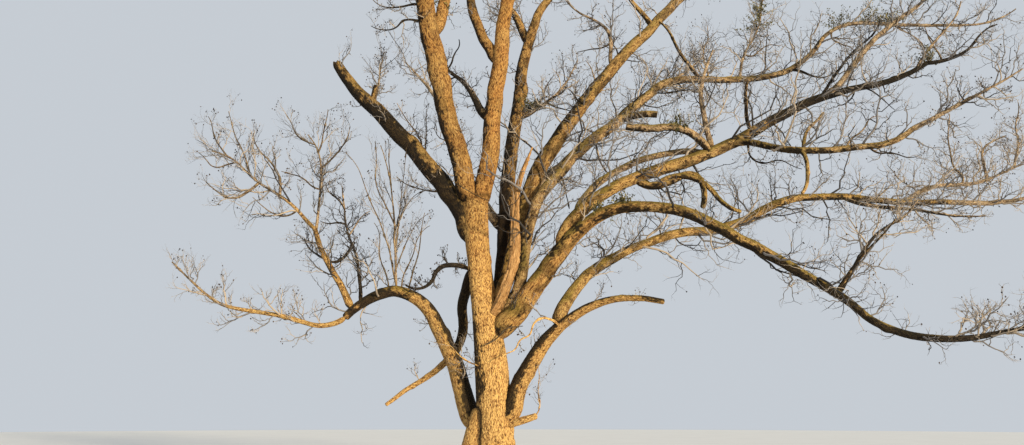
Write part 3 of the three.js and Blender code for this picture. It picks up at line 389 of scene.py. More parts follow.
# shoots that sprout straight from a limb: how many for each metre, and the longest, in metres
SHOOTS = dict(
    left_leader=(0.9, 0.9), left_leader_fork=(1.1, 1.0), centre_leader=(0.9, 0.9),
    centre_leader_fork=(1.1, 1.1), back_stem=(1.6, 1.5), back_stem_fork=(1.6, 1.3),
    steep_right_bough=(2.3, 2.0), high_right_bough=(3.9, 2.6), arching_right_bough=(1.6, 1.2),
    sweeping_right_bough=(2.2, 1.9), upper_right_bough=(3.2, 2.5), upper_right_twin=(2.0, 1.3),
    level_right_bough=(3.8, 2.4), low_right_bough=(0.9, 0.9), long_right_bough=(4.2, 2.3),
    broken_left_limb=(1.1, 1.4), low_left_bough=(0.9, 0.9), arched_left_bough=(2.4, 1.7),
    left_rising_branch=(3.0, 1.6), drooping_left_limb=(0.9, 0.9), sawn_right_branch=(2.2, 1.4),
    back_right_bough=(2.0, 1.8), back_left_bough=(2.0, 1.8), front_left_bough=(2.2, 1.6),
    front_right_bough=(2.2, 1.7),
)

# green clumps: limb or stem, place along it and size
CLUMPS = [
    ("back_side_spray", 0.12, 0.6), ("back_side_spray", 0.2, 0.5), ("sawn_right_branch", 0.45, 0.55),
    ("high_right_spray", 0.55, 0.7), ("high_right_spray", 0.7, 0.6), ("high_right_crown", 0.1, 0.8),
    ("high_right_crown", 0.26, 0.8), ("high_right_crown", 0.36, 0.7),
    ("upper_right_crown", 0.02, 0.55), ("left_leader_fork", 0.3, 0.45), ("arching_right_bough", 0.8, 0.5),
    ("arching_right_bough", 0.92, 0.5),
]

# further twigs of each mass's stem, beyond the source's own, and of each metre of a side branch, with
# the longest and the room that side branches have past their mass's reach
MORE_TWIGS = 15
SIDE_TWIGS, SIDE_LONGEST, SIDE_ROOM = 4.5, 0.9, 0.5
# room for the twigs of a bough's side branches, and for the shoots on a bough
SIDE_REACH = 2.5
SHOOT_REACH = 3.0
# the places along a twig where the next levels leave, and the least and most of its length they take
SECOND_PLACES, SECOND_SHARES = np.array([0.25, 0.5, 0.38, 0.64, 0.78, 0.92]), (0.42, 0.64)
THIRD_PLACES, THIRD_SHARES = np.array([0.3, 0.6, 0.88]), (0.38, 0.68)
FOURTH_PLACES, FOURTH_SHARES = np.array([0.6]), (0.35, 0.65)
# how far a first and a second twig are bent aside between their points, as shares of their length
FIRST_BEND, SECOND_BEND = 0.045, 0.055
# sides of the tubes of each level, and the straight segments by which a limb's distance is measured
TUBE_SIDES = (5, 3, 3, 3)
SEGMENTS_EACH = 12
# how much a twig turns at each step by chance, where the source's own rule doesn't bind it
WILD_CROOK = 1.05
# how much longer and closer to its parent a twig of a slender mass grows
ROD_LENGTH, ROD_SPREAD = 1.5, 0.5
# how far past the solids' box a twig may reach, and the most triangles in a piece of twigs
BOX_ROOM = 0.05
PIECE_TRIANGLES = 180000

# width of the shade painted black in the crease where the lobe meets the trunk, and how high it is looked
# for
CREVICE, CREVICE_TOP = 0.085, 2

# a clump: its twigs, the leaves on each twig, and the share of twigs whose leaves catch the light
CLUMP_TWIGS = 22
CLUMP_LEAVES = 16
SUNLIT_SHARE = 0.35

# share of the second and of the third twigs that end in a gall, and share of the galls that are brown
GALL_SHARES, BROWN_GALLS = (0.3, 0.12), 0.4
# a gall as an eight-sided bead a little taller than wide
GALL_CORNERS = np.array([[1, 0, 0], [0, 1, 0], [-1, 0, 0], [0, -1, 0], [0, 0, 1.2], [0, 0, -1.2]])
GALL_FACES = np.array([[0, 1, 4], [1, 2, 4], [2, 3, 4], [3, 0, 4], [1, 0, 5], [2, 1, 5], [3, 2, 5],
                       [0, 3, 5]])

# the camera's place, its tilt up from level in degrees, its lens and sensor in millimetres
CAMERA_PLACE = (0.34, -18.6, 1.6)
CAMERA_TILT = 14.5
LENS, SENSOR = 26.5, 36
# the way to the low light, its width in degrees and its colour
LIGHT_WAY = (0.6, -0.76, 0.17)
LIGHT_WIDTH = 5
LIGHT_COLOUR = (1.0, 0.87, 0.66)
FLOOR_RADIUS = 90


def unit(vectors):
    """Vectors scaled to length one."""
    return vectors / np.linalg.norm(vectors, axis=-1, keepdims=True)


def smooth(low, high, value):
    """0 below low, 1 above high, and an even S-shaped rise between them."""
    share = np.clip((value - low) / (high - low), 0, 1)
    return share * share * (3 - 2 * share)


def chance(number, throw):
    """A number from 0 to 1 that depends only on a twig's own number and on which throw it is: the part
    after the point of a large sine."""
    wave = np.sin(number * 12.9898 + throw * 78.233) * 43758.5453
    return wave - np.floor(wave)


def lattice(cell, seed):
    """A number from 0 to 1 for each whole-numbered cell: its three numbers are multiplied by large odd
    ones, added, and folded over twice."""
    mixed = cell[..., 0] * 374761393 + cell[..., 1] * 668265263 + cell[..., 2] * 2147483647
    mixed = (mixed + int(seed) * 974634777) & 0xFFFFFFFF
    mixed = ((mixed ^ (mixed >> 13)) * 1274126177) & 0xFFFFFFFF
    return ((mixed ^ (mixed >> 16)) & 0xFFFF) / 65535.0


def noise(place, seed):
    """Smooth noise from -1 to 1: the eight corners of each cell hold chance values, and a point takes
    their mean, weighted by an S-shaped share of how near it lies to each."""
    low = np.floor(place)
    share = place - low
    share = share * share * (3 - 2 * share)
    cell = low.astype(np.int64)
    total = np.zeros(place.shape[:-1])
    for corner in np.ndindex(2, 2, 2):
        weight = np.prod(np.where(np.array(corner) == 1, share, 1 - share), axis=-1)
        total += weight * lattice(cell + np.array(corner), seed)
    return 2 * total - 1


def stage_value(stages, fraction):
    """Value of evenly spaced stages at fractions from 0 to 1, straight between stages."""
    return np.interp(np.clip(fraction, 0, 1) * (len(stages) - 1), np.arange(len(stages)), stages)


def heading(climb, bearing):
    """Directions of climbs and bearings given in degrees."""
    climb, bearing = np.radians(climb), np.radians(bearing)
    level = np.cos(climb)
    return np.stack([level * np.cos(bearing), level * np.sin(bearing), np.sin(climb)], axis=-1)


def walk(limb, start):
    """Centreline walked from the start in even steps, each along the limb's climb and bearing there."""
    fraction = (np.arange(WALK_STEPS) + 0.5) / WALK_STEPS
    ways = heading(stage_value(limb["climb"], fraction), stage_value(limb["bearing"], fraction))
    steps = np.cumsum(ways * limb["length"] / WALK_STEPS, axis=0)
    return np.vstack([start, start + steps])


def point_at(line, fraction):
    """Points of a centreline at fractions of its length, straight between its own points."""
    place = np.clip(fraction, 0, 1) * (len(line) - 1)
    low = np.minimum(np.floor(place).astype(int), len(line) - 2)
    share = (place - low)[..., None]
    return line[low] * (1 - share) + line[low + 1] * share


def radius_at(limb, fraction):
    """Radius at fractions of the length, with the collar where the limb leaves its parent."""
    plain = stage_value(limb["girth"], fraction) / 2
    parent = limb.get("parent_radius", 0)
    if not parent or limb.get("at") == 1:
        return plain
    along = fraction * limb["length"]
    swollen = plain * (1 + COLLAR * np.exp(-along / (parent + plain)))
    return np.where(along < parent, np.minimum(swollen, 0.9 * parent), swollen)


def curve(lines, fraction):
    """Points of smooth curves at fractions of their length. Each curve passes through its line's points;
    every span is a cubic whose ends run parallel to the neighbouring points. Lines may be one (n, 3) or
    many (m, n, 3), and the fractions are shared by all."""
    last = lines.shape[-2] - 1
    place = np.clip(fraction, 0, 1) * last
    low = np.minimum(np.floor(place).astype(int), last - 1)
    share = (place - low)[:, None]
    before, start = lines[..., np.maximum(low - 1, 0), :], lines[..., low, :]
    end, after = lines[..., low + 1, :], lines[..., np.minimum(low + 2, last), :]
    return hermite(before, start, end, after, share)


def point_each(lines, fraction):
    """A point of each line at its own fraction of the length, straight between the line's points."""
    last = lines.shape[1] - 1
    place = np.clip(fraction, 0, 1) * last
    low = np.minimum(np.floor(place).astype(int), last - 1)
    row = np.arange(len(lines))
    share = (place - low)[:, None]
    return lines[row, low] * (1 - share) + lines[row, low + 1] * share


def hermite(before, start, end, after, share):
    """Cubic from start to end at a share of the way, its end slopes half the step between neighbours."""
    square, cube = share ** 2, share ** 3
    leave, arrive = (end - before) / 2, (after - start) / 2
    return (
        (2 * cube - 3 * square + 1) * start + (cube - 2 * square + share) * leave
        + (3 * square - 2 * cube) * end + (cube - square) * arrive
    )


def flare_share(height, angle):
    """Share by which the trunk's foot is wider at a height and an angle round it."""
    fade = np.exp(-np.maximum(height, 0) / FLARE_HEIGHT)
    ridge = 0.62 + 0.38 * np.cos(FLARE_RIDGES * angle + 0.7) * np.cos(angle + 0.4)
    return 1 + FLARE * fade * ridge


def stray(limb):
    """A limb's centreline as it strays while it grows: noise along its length, in waves of about 1 m and
    0.4 m, pushes it aside by up to a quarter of its radius and 20 mm, and by nothing at its two ends."""
    fraction = np.arange(WALK_STEPS + 1) / WALK_STEPS
    along = fraction * limb["length"]
    place = np.stack([along * 1.1, along * 0 + 3.1 * limb["number"], along * 0], axis=-1)
    aside = np.stack([noise(place + 17.3 * axis, limb["number"] + axis)
                      + 0.4 * noise(2.6 * place + 5.9 * axis, limb["number"] + 9 + axis)
                      for axis in range(3)], axis=-1)
    fade = smooth(0, 0.7, along) * smooth(0, 0.5, limb["length"] - along)
    return limb["line"] + aside * (fade * (0.018 + 0.22 * radius_at(limb, fraction)))[:, None]


def place_all():
    """Gives every limb and stem its number, centreline, parent's radius and coarse points."""
    placed = {}
    for number, (name, sizes) in enumerate({**LIMBS, **MASSES}.items()):
        limb = dict(sizes, name=name, number=number)
        parent = placed.get(limb.get("on"))
        start = point_at(parent["line"], np.float64(limb["at"])) if parent else np.zeros(3)
        limb["line"] = walk(limb, start)
        limb["parent_radius"] = float(radius_at(parent, np.float64(limb["at"]))) if parent else 0
        if parent:
            limb["line"] = stray(limb)
        limb["coarse"] = point_at(limb["line"], np.arange(SEGMENTS_EACH + 1) / SEGMENTS_EACH)
        placed[name] = limb
    return placed


TREE = place_all()
LIMB_COUNT = len(LIMBS)
NAMES = list(TREE)


def ring_axes(line):
    """For each point of a line: the way it runs and two axes across it, carried along without twist. The
    four rings that close the end keep the way of the last ring before them."""
    ways = unit(np.gradient(line[:-4], axis=0))
    ways = np.vstack([ways, np.repeat(ways[-1:], 4, axis=0)])
    side = np.array([0.0, 1.0, 0.0]) if abs(ways[0, 0]) > 0.8 else np.array([1.0, 0.0, 0.0])
    sides = np.empty_like(line)
    for k, way in enumerate(ways):
        side = side - way * side.dot(way)
        side = side / np.linalg.norm(side)
        sides[k] = side
    return ways, sides, np.cross(ways, sides)


def furrows(grain, plate, seed):
    """Height of bark from 0, the bottom of a furrow, to 1. Furrows lie where a warped noise, stretched
    threefold along the limb, changes sign, and finer noise roughens the plates between them."""
    place = grain / np.array([plate, plate, 3 * plate])
    warp = np.stack([noise(place * 0.6 + 9.1, seed + 1), noise(place * 0.6 - 4.7, seed + 2)], axis=-1)
    bent = place + 0.6 * np.concatenate([warp, warp[..., :1]], axis=-1)
    plates = smooth(0.0, 0.3, np.abs(noise(bent, seed)))
    flakes = 0.5 + 0.5 * noise(bent * 2.3, seed + 4)
    return plates * (0.6 + 0.4 * flakes)


def knots(limb, along, angle, radius):
    """Swellings and hollows of healed branches: one round bump for each metre or so, with a dip in it."""
    total = np.zeros(np.broadcast(along, angle).shape)
    for k in range(int(limb["length"] * 0.9)):
        number = limb["number"] * 53 + k
        middle = limb["length"] * (0.1 + 0.85 * chance(number, 5))
        turn = 2 * np.pi * chance(number, 6)
        size = 0.045 + 0.3 * np.mean(radius) * chance(number, 7)
        across = (np.mod(angle - turn + np.pi, 2 * np.pi) - np.pi) * radius
        off = ((along - middle) ** 2 + across ** 2) / size ** 2
        total = total + size * (0.45 * np.exp(-off) - 0.4 * np.exp(-off * 7))
    return total


def end_rings(line, radii, tip):
    """Adds the four rings that close a free end: a dome, a flat sawn face or a splintered break. Returns
    the line, the radii and how far each ring belongs to a cut."""
    way = unit(line[-1] - line[-3])
    last = radii[-1]
    if tip == "dome":
        ahead, share = 0.6 * np.sin(np.radians([25, 48, 66, 80])), np.cos(np.radians([25, 48, 66, 80]))
    elif tip == "sawn":
        ahead, share = np.array([0.02, 0.04, 0.05, 0.05]), np.array([0.97, 0.8, 0.5, 0.15])
    else:
        ahead, share = np.array([0.3, 0.5, 0.6, 0.65]), np.array([0.9, 0.7, 0.42, 0.14])
    cut = np.concatenate([np.zeros(len(line)), np.full(4, float(tip != "dome"))])
    cut[-5] = 0.5 * cut[-1]
    return np.vstack([line, line[-1] + ahead[:, None] * way * last]), np.append(radii, last * share), cut


def tone_along(limb, table, usual, rings):
    """A limb's value in a table of stages at each ring. Near its root it takes its parent's value there,
    and changes to its own over a few of the parent's radii. A stub named for its parent keeps that."""
    fraction = np.linspace(0, 1, rings)
    own = stage_value(table.get(limb["name"], usual), fraction)
    if "on" in limb:
        parent = stage_value(table.get(limb["on"], usual), limb.get("root_at", limb["at"]))
        reach = TONE_REACH * (limb.get("parent_radius") or 0.05)
        share = (limb["name"] != limb["on"]) * smooth(0, reach, fraction * limb["length"])
        own = parent + (own - parent) * share
    return own[:, None]


def bark_surface(limb, spacing, columns, depth, plate, tip="dome", shape=None):
    """Surface of one limb: rings of bark carried along its smooth centreline. Each ring's radius is the
    limb's own, narrower inside its parent, swollen by slow lumps and knots and lowered in the furrows; the
    end is closed as tip says. Returns the points, the faces and the surface's values for the material."""
    count = max(int(limb["length"] / spacing), 6)
    fraction = np.arange(count) / (count - 1)
    line = curve(limb["line"], fraction)
    radii = radius_at(limb, fraction)
    parent = limb.get("parent_radius", 0)
    if parent and limb["at"] != 1 and limb["length"] > 0.4:
        radii = radii * (0.35 + 0.65 * smooth(0, 2.1 * parent, fraction * limb["length"]))
    line, radii, cut = end_rings(line, radii, tip)
    ways, sides, others = ring_axes(line)
    along = np.concatenate([[0], np.cumsum(np.linalg.norm(np.diff(line, axis=0), axis=1))])[:, None]
    angle = (2 * np.pi * np.arange(columns) / columns)[None]
    radius = radii[:, None] * (shape(line[:, 2:], angle) if shape else 1)
    round_x, round_y = np.cos(angle) * radius, np.sin(angle) * radius
    grain = np.stack([round_x, round_y, np.broadcast_to(along, round_x.shape)], axis=-1)
    number = limb["number"]
    relief = furrows(grain + number * 3.7, plate, number * 7)
    slow = np.stack([np.cos(angle) * 1.2 + 0 * along, np.sin(angle) * 1.2 + 0 * along,
                     along / (5 * np.mean(radii)) + 0 * angle], axis=-1)
    lumps = 0.07 * radius * noise(slow + number * 5.3, number + 11)
    keep = (radii / np.maximum(radii[max(count - 2, 0)], 1e-6)).clip(0, 1)[:, None]
    swollen = radius + keep * (lumps + knots(limb, along, angle, radius) + depth * (relief - 0.5))
    points = line[:, None] + sides[:, None] * (np.cos(angle) * swollen)[..., None]
    points = points + others[:, None] * (np.sin(angle) * swollen)[..., None]
    if tip == "broken":
        jag = noise(np.stack([np.cos(angle) * 2.6 + 0 * along, np.sin(angle) * 2.6 + 0 * along,
                              0.4 * np.arange(len(line))[:, None] + 0 * angle], axis=-1), number + 5)
        reach = np.concatenate([np.zeros(count - 1), [0.5, 0.9, 0.9, 0.7, 0.3]])[:, None] * radii[count - 1]
        points = points + ways[:, None] * (reach * jag * 0.8)[..., None]
    outward = sides[:, None] * np.cos(angle)[..., None] + others[:, None] * np.sin(angle)[..., None]
    values = bark_values(limb, points, outward, relief, grain)
    values["cut"] = cut[:, None] + 0 * angle
    points, faces = close_rings(points)
    padded = {key: with_poles(value) for key, value in values.items()}
    padded["grain"] = with_poles(grain + number * 3.7)
    return points, faces, padded


def bark_values(limb, points, outward, relief, grain):
    """What the bark's material needs at each point of a grid of rings. Moss lies on the upper side. The
    black of algae and painted shade is 1 where the way outwards, with patches, flecks and furrows added,
    comes near enough the limb's shaded side for its amount. The brightness, the bark's tone with painted
    light and shade, falls where slow noise makes a dark patch. Red and grey are the two sides of the limb's
    hue."""
    number, rings = limb["number"], len(points)
    patch = noise(points * 2.2 + 7, number + 21)
    fleck = 0.6 * noise(points * 8.5 + 3, number + 23) + 0.5 * noise(points * 21 + 3, number + 24)
    green = smooth(-0.15, 0.6, outward[..., 2] + 0.5 * patch) * tone_along(limb, MOSS, USUAL["moss"], rings)
    amount = tone_along(limb, DAMP_AND_SHADE, USUAL["damp"], rings)
    mottled = MOTTLED.get(limb["name"], USUAL["mottled"])
    side = unit(np.array(DAMP_AND_SHADE_SIDES.get(limb["name"], DAMP_AND_SHADE_SIDE)))
    # shade: how near a point faces the limb's shaded side; the black drawn from it is painted shade as well
    # as algae
    shade = 0.5 + 0.5 * outward @ side + 0.2 * patch + (0.12 + 0.35 * mottled) * fleck
    shade = shade - 0.2 * (relief - 0.5)
    black = smooth(1.2 - 1.45 * amount, 1.34 - 1.45 * amount, shade)
    hue = tone_along(limb, HUE, USUAL["hue"], rings) + 0 * patch
    spots = noise(grain * np.array([9.0, 9.0, 5.0]) + number, number + 27)
    mottle = 0.75 * mottled * smooth(-0.05, 0.35, spots + 0.25 * fleck)
    # the brightness is the bark's own tone with painted light and shade in it
    return dict(relief=relief, moss=green, damp=black,
                bright=tone_along(limb, TONE_AND_PAINTED_LIGHT, USUAL["bright"], rings) * (1 - mottle),
                red=np.maximum(hue, 0), grey=np.maximum(-hue, 0))


def with_poles(values):
    """Flat list of a grid's values, followed by those of its start and end poles."""
    flat = values.reshape(-1, *values.shape[2:])
    return np.concatenate([flat, values[0].mean(axis=0)[None], values[-1].mean(axis=0)[None]])


def close_rings(points):
    """Closed surface of a grid of rings: four-sided faces between rings and a fan at each pole."""
    rings, columns = points.shape[:2]
    index = np.arange(rings * columns).reshape(rings, columns)
    low, high = index[:-1], index[1:]
    quads = np.stack([low, np.roll(low, -1, 1), np.roll(high, -1, 1), high], axis=-1).reshape(-1, 4)
    first, last = rings * columns, rings * columns + 1
    start = np.stack([np.full(columns, first), np.roll(index[0], -1), index[0]], axis=-1)
    end = np.stack([index[-1], np.roll(index[-1], -1), np.full(columns, last)], axis=-1)
    return with_poles(points), [quads, np.concatenate([start, end])]


def make_piece(name, points, faces, values, *materials, choice=None):
    """A mesh object at the origin from arrays. Faces is a list of arrays of three- or four-sided faces,
    values holds numbers or vectors for each point, and choice the material of each face."""
    mesh = bpy.data.meshes.new(name)
    mesh.vertices.add(len(points))
    mesh.vertices.foreach_set("co", np.ascontiguousarray(points, dtype=np.float32).ravel())
    sizes = np.concatenate([np.full(len(part), part.shape[1]) for part in faces])
    corners = np.concatenate([part.ravel() for part in faces]).astype(np.int32)
    mesh.loops.add(len(corners))
    mesh.loops.foreach_set("vertex_index", corners)
    mesh.polygons.add(len(sizes))
    mesh.polygons.foreach_set("loop_start", (np.cumsum(sizes) - sizes).astype(np.int32))
    mesh.update(calc_edges=True)
    if mesh.validate():
        raise RuntimeError(f"{name} has faulty faces")
    for key, value in values.items():
        kind, field = ("FLOAT_VECTOR", "vector") if value.ndim == 2 else ("FLOAT", "value")
        mesh.attributes.new(key, kind, "POINT").data.foreach_set(field, value.astype(np.float32).ravel())
    for material in materials:
        mesh.materials.append(material)
    if choice is not None:
        mesh.polygons.foreach_set("material_index", choice.astype(np.int32))
    mesh.shade_smooth()
    piece = bpy.data.objects.new(name, mesh)
    bpy.context.scene.collection.objects.link(piece)
    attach(piece, "root")
    return piece


def join(parts):
    """One set of points, faces and values from several."""
    offset = 0
    points, faces, values = [], [], {}
    for part_points, part_faces, part_values in parts:
        points.append(part_points)
        faces.extend(part + offset for part in part_faces)
        for key, value in part_values.items():
            values.setdefault(key, []).append(value)
        offset += len(part_points)
    return np.concatenate(points), faces, {key: np.concatenate(value) for key, value in values.items()}


def sweep_limb(limb, tip="dome"):
    """Bark surface of a bough with grid and furrows in keeping with its girth."""
    widest = max(limb["girth"])
    columns = int(np.clip(np.pi * widest / 0.027, 8, 64))
    spacing = float(np.clip(0.042 - 0.03 * widest, 0.028, 0.038))
    depth = float(np.clip(0.024 * widest, 0.0015, 0.009))
    plate = float(np.clip(0.06 * widest, 0.013, 0.027))
    return bark_surface(limb, spacing, columns, depth, plate, tip)


def segment_table():
    """All limbs and stems as straight segments, with their radii, to measure distance to."""
    coarse = np.array([limb["coarse"] for limb in TREE.values()])
    fraction = np.arange(SEGMENTS_EACH + 1) / SEGMENTS_EACH
    radii = np.array([radius_at(limb, fraction) for limb in TREE.values()])
    start, along = coarse[:, :-1].reshape(-1, 3), np.diff(coarse, axis=1).reshape(-1, 3)
    return start, along, radii[:, :-1].ravel(), np.diff(radii, axis=1).ravel()


def clearances(points):
    """Distance from each point to the surface of each limb and stem: to the nearest point of a segment's
    line between its ends, less the radius there. One row for each point, one column for each limb."""
    start, along, radius, growth = SEGMENTS
    square = (along ** 2).sum(axis=1)
    found = []
    for part in np.array_split(points, max(len(points) // 4000, 1)):
        ahead = part @ along.T - (start * along).sum(axis=1)
        share = np.clip(ahead / square, 0, 1)
        apart = (part ** 2).sum(axis=1)[:, None] - 2 * part @ start.T + (start ** 2).sum(axis=1)
        apart = apart - 2 * share * ahead + share ** 2 * square
        gap = np.sqrt(np.maximum(apart, 0)) - radius - growth * share
        found.append(gap.reshape(len(part), -1, SEGMENTS_EACH).min(axis=2))
    return np.concatenate(found)


def in_space(points, owner, reach, free):
    """Whether points lie in the space of their own mass: within reach of its stem, nearer to it than to
    any other stem, above the ground, clear of every limb and inside the box of the solids. A point that
    belongs to a limb keeps clear of every other limb, and a free one may mix with its neighbours'."""
    gaps = clearances(points)
    row = np.arange(len(points))
    own = gaps[row, owner].copy()
    on_limb = owner < LIMB_COUNT
    gaps[row, owner] = np.inf
    good = (own <= reach) & (points[:, 2] > TWIG_CLEAR)
    good &= gaps[:, :LIMB_COUNT].min(axis=1) > TWIG_CLEAR
    good &= on_limb | free | (gaps[:, LIMB_COUNT:].min(axis=1) >= own + TWIG_CLEAR)
    return good & np.all((points > CAD_LOW - BOX_ROOM) & (points < CAD_HIGH + BOX_ROOM), axis=1)


SEGMENTS = segment_table()


def twig_lines(number, root, along, turn, spread, length, crook):
    """Centrelines of twigs in four steps: each leaves its parent at an angle, crooks by chance at every
    step and lifts to the light."""
    steep = np.abs(along[:, 2:]) > 0.95
    level = np.where(steep, np.array([1.0, 0.0, 0.0]), np.array([0.0, 0.0, 1.0]))
    across = unit(np.cross(along, level))
    over = np.cross(across, along)
    out = across * np.cos(turn)[:, None] + over * np.sin(turn)[:, None]
    way = along * np.cos(spread)[:, None] + out * np.sin(spread)[:, None]
    line = [root]
    for k in range(TWIG_STEPS):
        bend = np.stack([chance(number, 3 * k + 11 + axis) - 0.5 for axis in range(3)], axis=-1)
        way = unit(way + crook[:, None] * bend + np.array([0, 0, TWIG_LIFT]))
        line.append(line[-1] + way * (length / TWIG_STEPS)[:, None])
    return np.stack(line, axis=1)


def spread_of(number):
    """Angle between a twig and its parent, in radians."""
    return np.radians(TWIG_SPREAD + 24 * (chance(number, 3) - 0.5))


def first_twigs(limb, count, more, reach, longest):
    """First twigs of one stem or limb: the source's own ones, then further ones between them, which grow
    shorter towards the tip. Longest is the most that a further one may measure. The further ones of a
    slender mass are rods, longer and closer to their parent."""
    n = np.arange(count + more)
    own = n < count
    keeper = limb.get("owner", limb["number"])
    rod = NAMES[keeper] in SLENDER
    number = limb["number"] * 100.0 + n
    fraction = np.where(own, 0.14 + 0.84 * (n + 0.6 * chance(number, 1)) / max(count, 1),
                        0.1 + 0.89 * (n - count + 0.8 * chance(number, 1)) / max(more, 1))
    along = unit(point_at(limb["line"], fraction + 0.03) - point_at(limb["line"], fraction - 0.03))
    turn = np.radians(TWIG_TURN * n + 40 * chance(number, 2))
    length = np.where(own, reach * (0.7 + 0.35 * chance(number, 4)),
                      longest * (0.35 + 0.65 * chance(number, 4)) * (1.1 - 0.4 * fraction))
    length = np.where(own | (not rod), length, ROD_LENGTH * length)
    spread = spread_of(number) * np.where(own | (not rod), 1, ROD_SPREAD)
    line = twig_lines(number, curve(limb["line"], fraction), along, turn, spread, length,
                      np.where(own | rod, TWIG_CROOK, WILD_CROOK))
    thick = np.minimum(np.where(own, 0.026, 0.011 + 0.011 * length), 0.62 * radius_at(limb, fraction))
    shared = dict(owner=np.full(len(n), keeper), reach=np.full(len(n), reach),
                  free=np.full(len(n), "owner" in limb))
    good = in_space(line[:, 1:].reshape(-1, 3), *(np.repeat(part, TWIG_STEPS) for part in shared.values()))
    made = dict(shared, line=line, number=number, length=length, thick=thick, spray=number,
                narrow=np.full(len(n), SPREAD.get(NAMES[keeper], 1.0)))
    return pick(made, good.reshape(-1, TWIG_STEPS).all(axis=1))


def next_twigs(parents, places, shares, thickness, tested):
    """Twigs of the next level: one for each parent and place along it. Its length is a share of the
    parent's, between the two given, and less the further out it leaves. It is skipped where one of its
    tested points leaves its mass's space."""
    count = len(places)
    row = np.repeat(np.arange(len(parents["number"])), count)
    parent = {key: value[row] for key, value in parents.items()}
    m = np.tile(np.arange(count), len(parents["number"]))
    number = parent["number"] * 7 + m + 1
    fraction = places[m] + np.where(m < 2, 0, 0.06 * (chance(number, 8) - 0.5))
    root = point_each(parent["line"], fraction)
    along = unit(point_each(parent["line"], fraction + 0.25) - point_each(parent["line"], fraction - 0.25))
    turn = np.radians(TWIG_TURN * m + 360 * chance(number, 2))
    length = parent["length"] * (shares[0] + (shares[1] - shares[0]) * chance(number, 4))
    length = length * np.where(m < 2, 1, 1.15 - 0.5 * fraction)
    line = twig_lines(number, root, along, turn, spread_of(number) * parent["narrow"], length,
                      WILD_CROOK * parent["narrow"])
    thick = np.minimum(thickness * (0.8 + 0.4 * chance(number, 9)),
                       0.8 * parent["thick"] * (1 - 0.7 * fraction))
    shared = {key: parent[key] for key in ("owner", "reach", "free", "narrow")}
    good = in_space(line[:, tested].reshape(-1, 3), *(np.repeat(shared[key], len(tested))
                                                      for key in ("owner", "reach", "free")))
    made = dict(shared, line=line, number=number, length=length, thick=thick,
                spray=np.floor((parent["spray"] + number) / 2))
    return pick(made, good.reshape(-1, len(tested)).all(axis=1))


def pick(twigs, keep):
    """The twigs of a group for which keep is true."""
    return {key: value[keep] for key, value in twigs.items()}


def zigzag(twigs, crook):
    """The same twigs with a bend between every two points of their lines: each midpoint of the smooth
    curve is pushed aside by chance, by up to crook times the twig's length."""
    fraction = np.arange(2 * TWIG_STEPS + 1) / (2 * TWIG_STEPS)
    line = curve(twigs["line"], fraction)
    aside = np.stack([chance(twigs["number"][:, None], 31 + axis + 3 * np.arange(len(fraction))) - 0.5
                      for axis in range(3)], axis=-1)
    aside[:, ::2] = 0
    return dict(twigs, line=line + 2 * crook * aside * twigs["length"][:, None, None])


def grow_levels(first, sizes):
    """Second, third and fourth twigs on the first, each level thinner than the one before."""
    first = zigzag(first, FIRST_BEND)
    second = next_twigs(first, SECOND_PLACES, SECOND_SHARES, sizes.second_girth, [1, 2, 3, 4])
    second = zigzag(second, SECOND_BEND)
    third = next_twigs(second, THIRD_PLACES, THIRD_SHARES, sizes.third_girth, [2, 4])
    fourth = next_twigs(third, FOURTH_PLACES, FOURTH_SHARES, sizes.fourth_girth, [4])
    fourth["line"] = fourth["line"][:, ::2]
    return first, second, third, fourth


def stack(groups):
    """One group of twigs from several."""
    return {key: np.concatenate([group[key] for group in groups]) for key in groups[0]}


def twig_tubes(twigs, sides):
    """Tubes of many twigs at once: a ring at each point of a twig's line but the last, thinner towards the
    tip, and a point at the end. Returns points, triangles and the numbers of both in one twig."""
    line = twigs["line"]
    total, rings = line.shape[:2]
    ways = unit(np.gradient(line, axis=1))
    level = np.where(np.abs(ways[:, :1, 2:]) > 0.9, np.array([1.0, 0, 0]), np.array([0, 0, 1.0]))
    across = unit(np.cross(ways, level))
    over = np.cross(ways, across)
    angle = 2 * np.pi * np.arange(sides) / sides
    radii = twigs["thick"][:, None] * (1 - 0.7 * np.arange(rings) / (rings - 1))
    spoke = (across[:, :-1, None] * np.cos(angle)[:, None] + over[:, :-1, None] * np.sin(angle)[:, None])
    body = line[:, :-1, None] + spoke * radii[:, :-1, None, None]
    points = np.concatenate([body.reshape(total, -1, 3), line[:, -1:]], axis=1)
    ring = np.arange((rings - 1) * sides).reshape(rings - 1, sides)
    low, high = ring[:-1], ring[1:]
    quads = np.stack([low, np.roll(low, -1, 1), np.roll(high, -1, 1), high], axis=-1).reshape(-1, 4)
    split = np.concatenate([quads[:, [0, 1, 2]], quads[:, [0, 2, 3]]])
    tip = np.stack([ring[-1], np.roll(ring[-1], -1), np.full(sides, (rings - 1) * sides)], axis=-1)
    foot = np.stack([np.zeros(sides - 2, int), np.arange(2, sides), np.arange(1, sides - 1)], axis=-1)
    each = np.concatenate([split, tip, foot])
    size = points.shape[1]
    faces = each[None] + (np.arange(total) * size)[:, None, None]
    return points.reshape(-1, 3), faces.reshape(-1, 3), size, len(each)


def linear(colour):
    """Linear colour of an sRGB hex value."""
    parts = [int(colour[k:k + 2], 16) / 255 for k in (1, 3, 5)]
    return tuple(((p + 0.055) / 1.055) ** 2.4 if p > 0.04045 else p / 12.92 for p in parts)


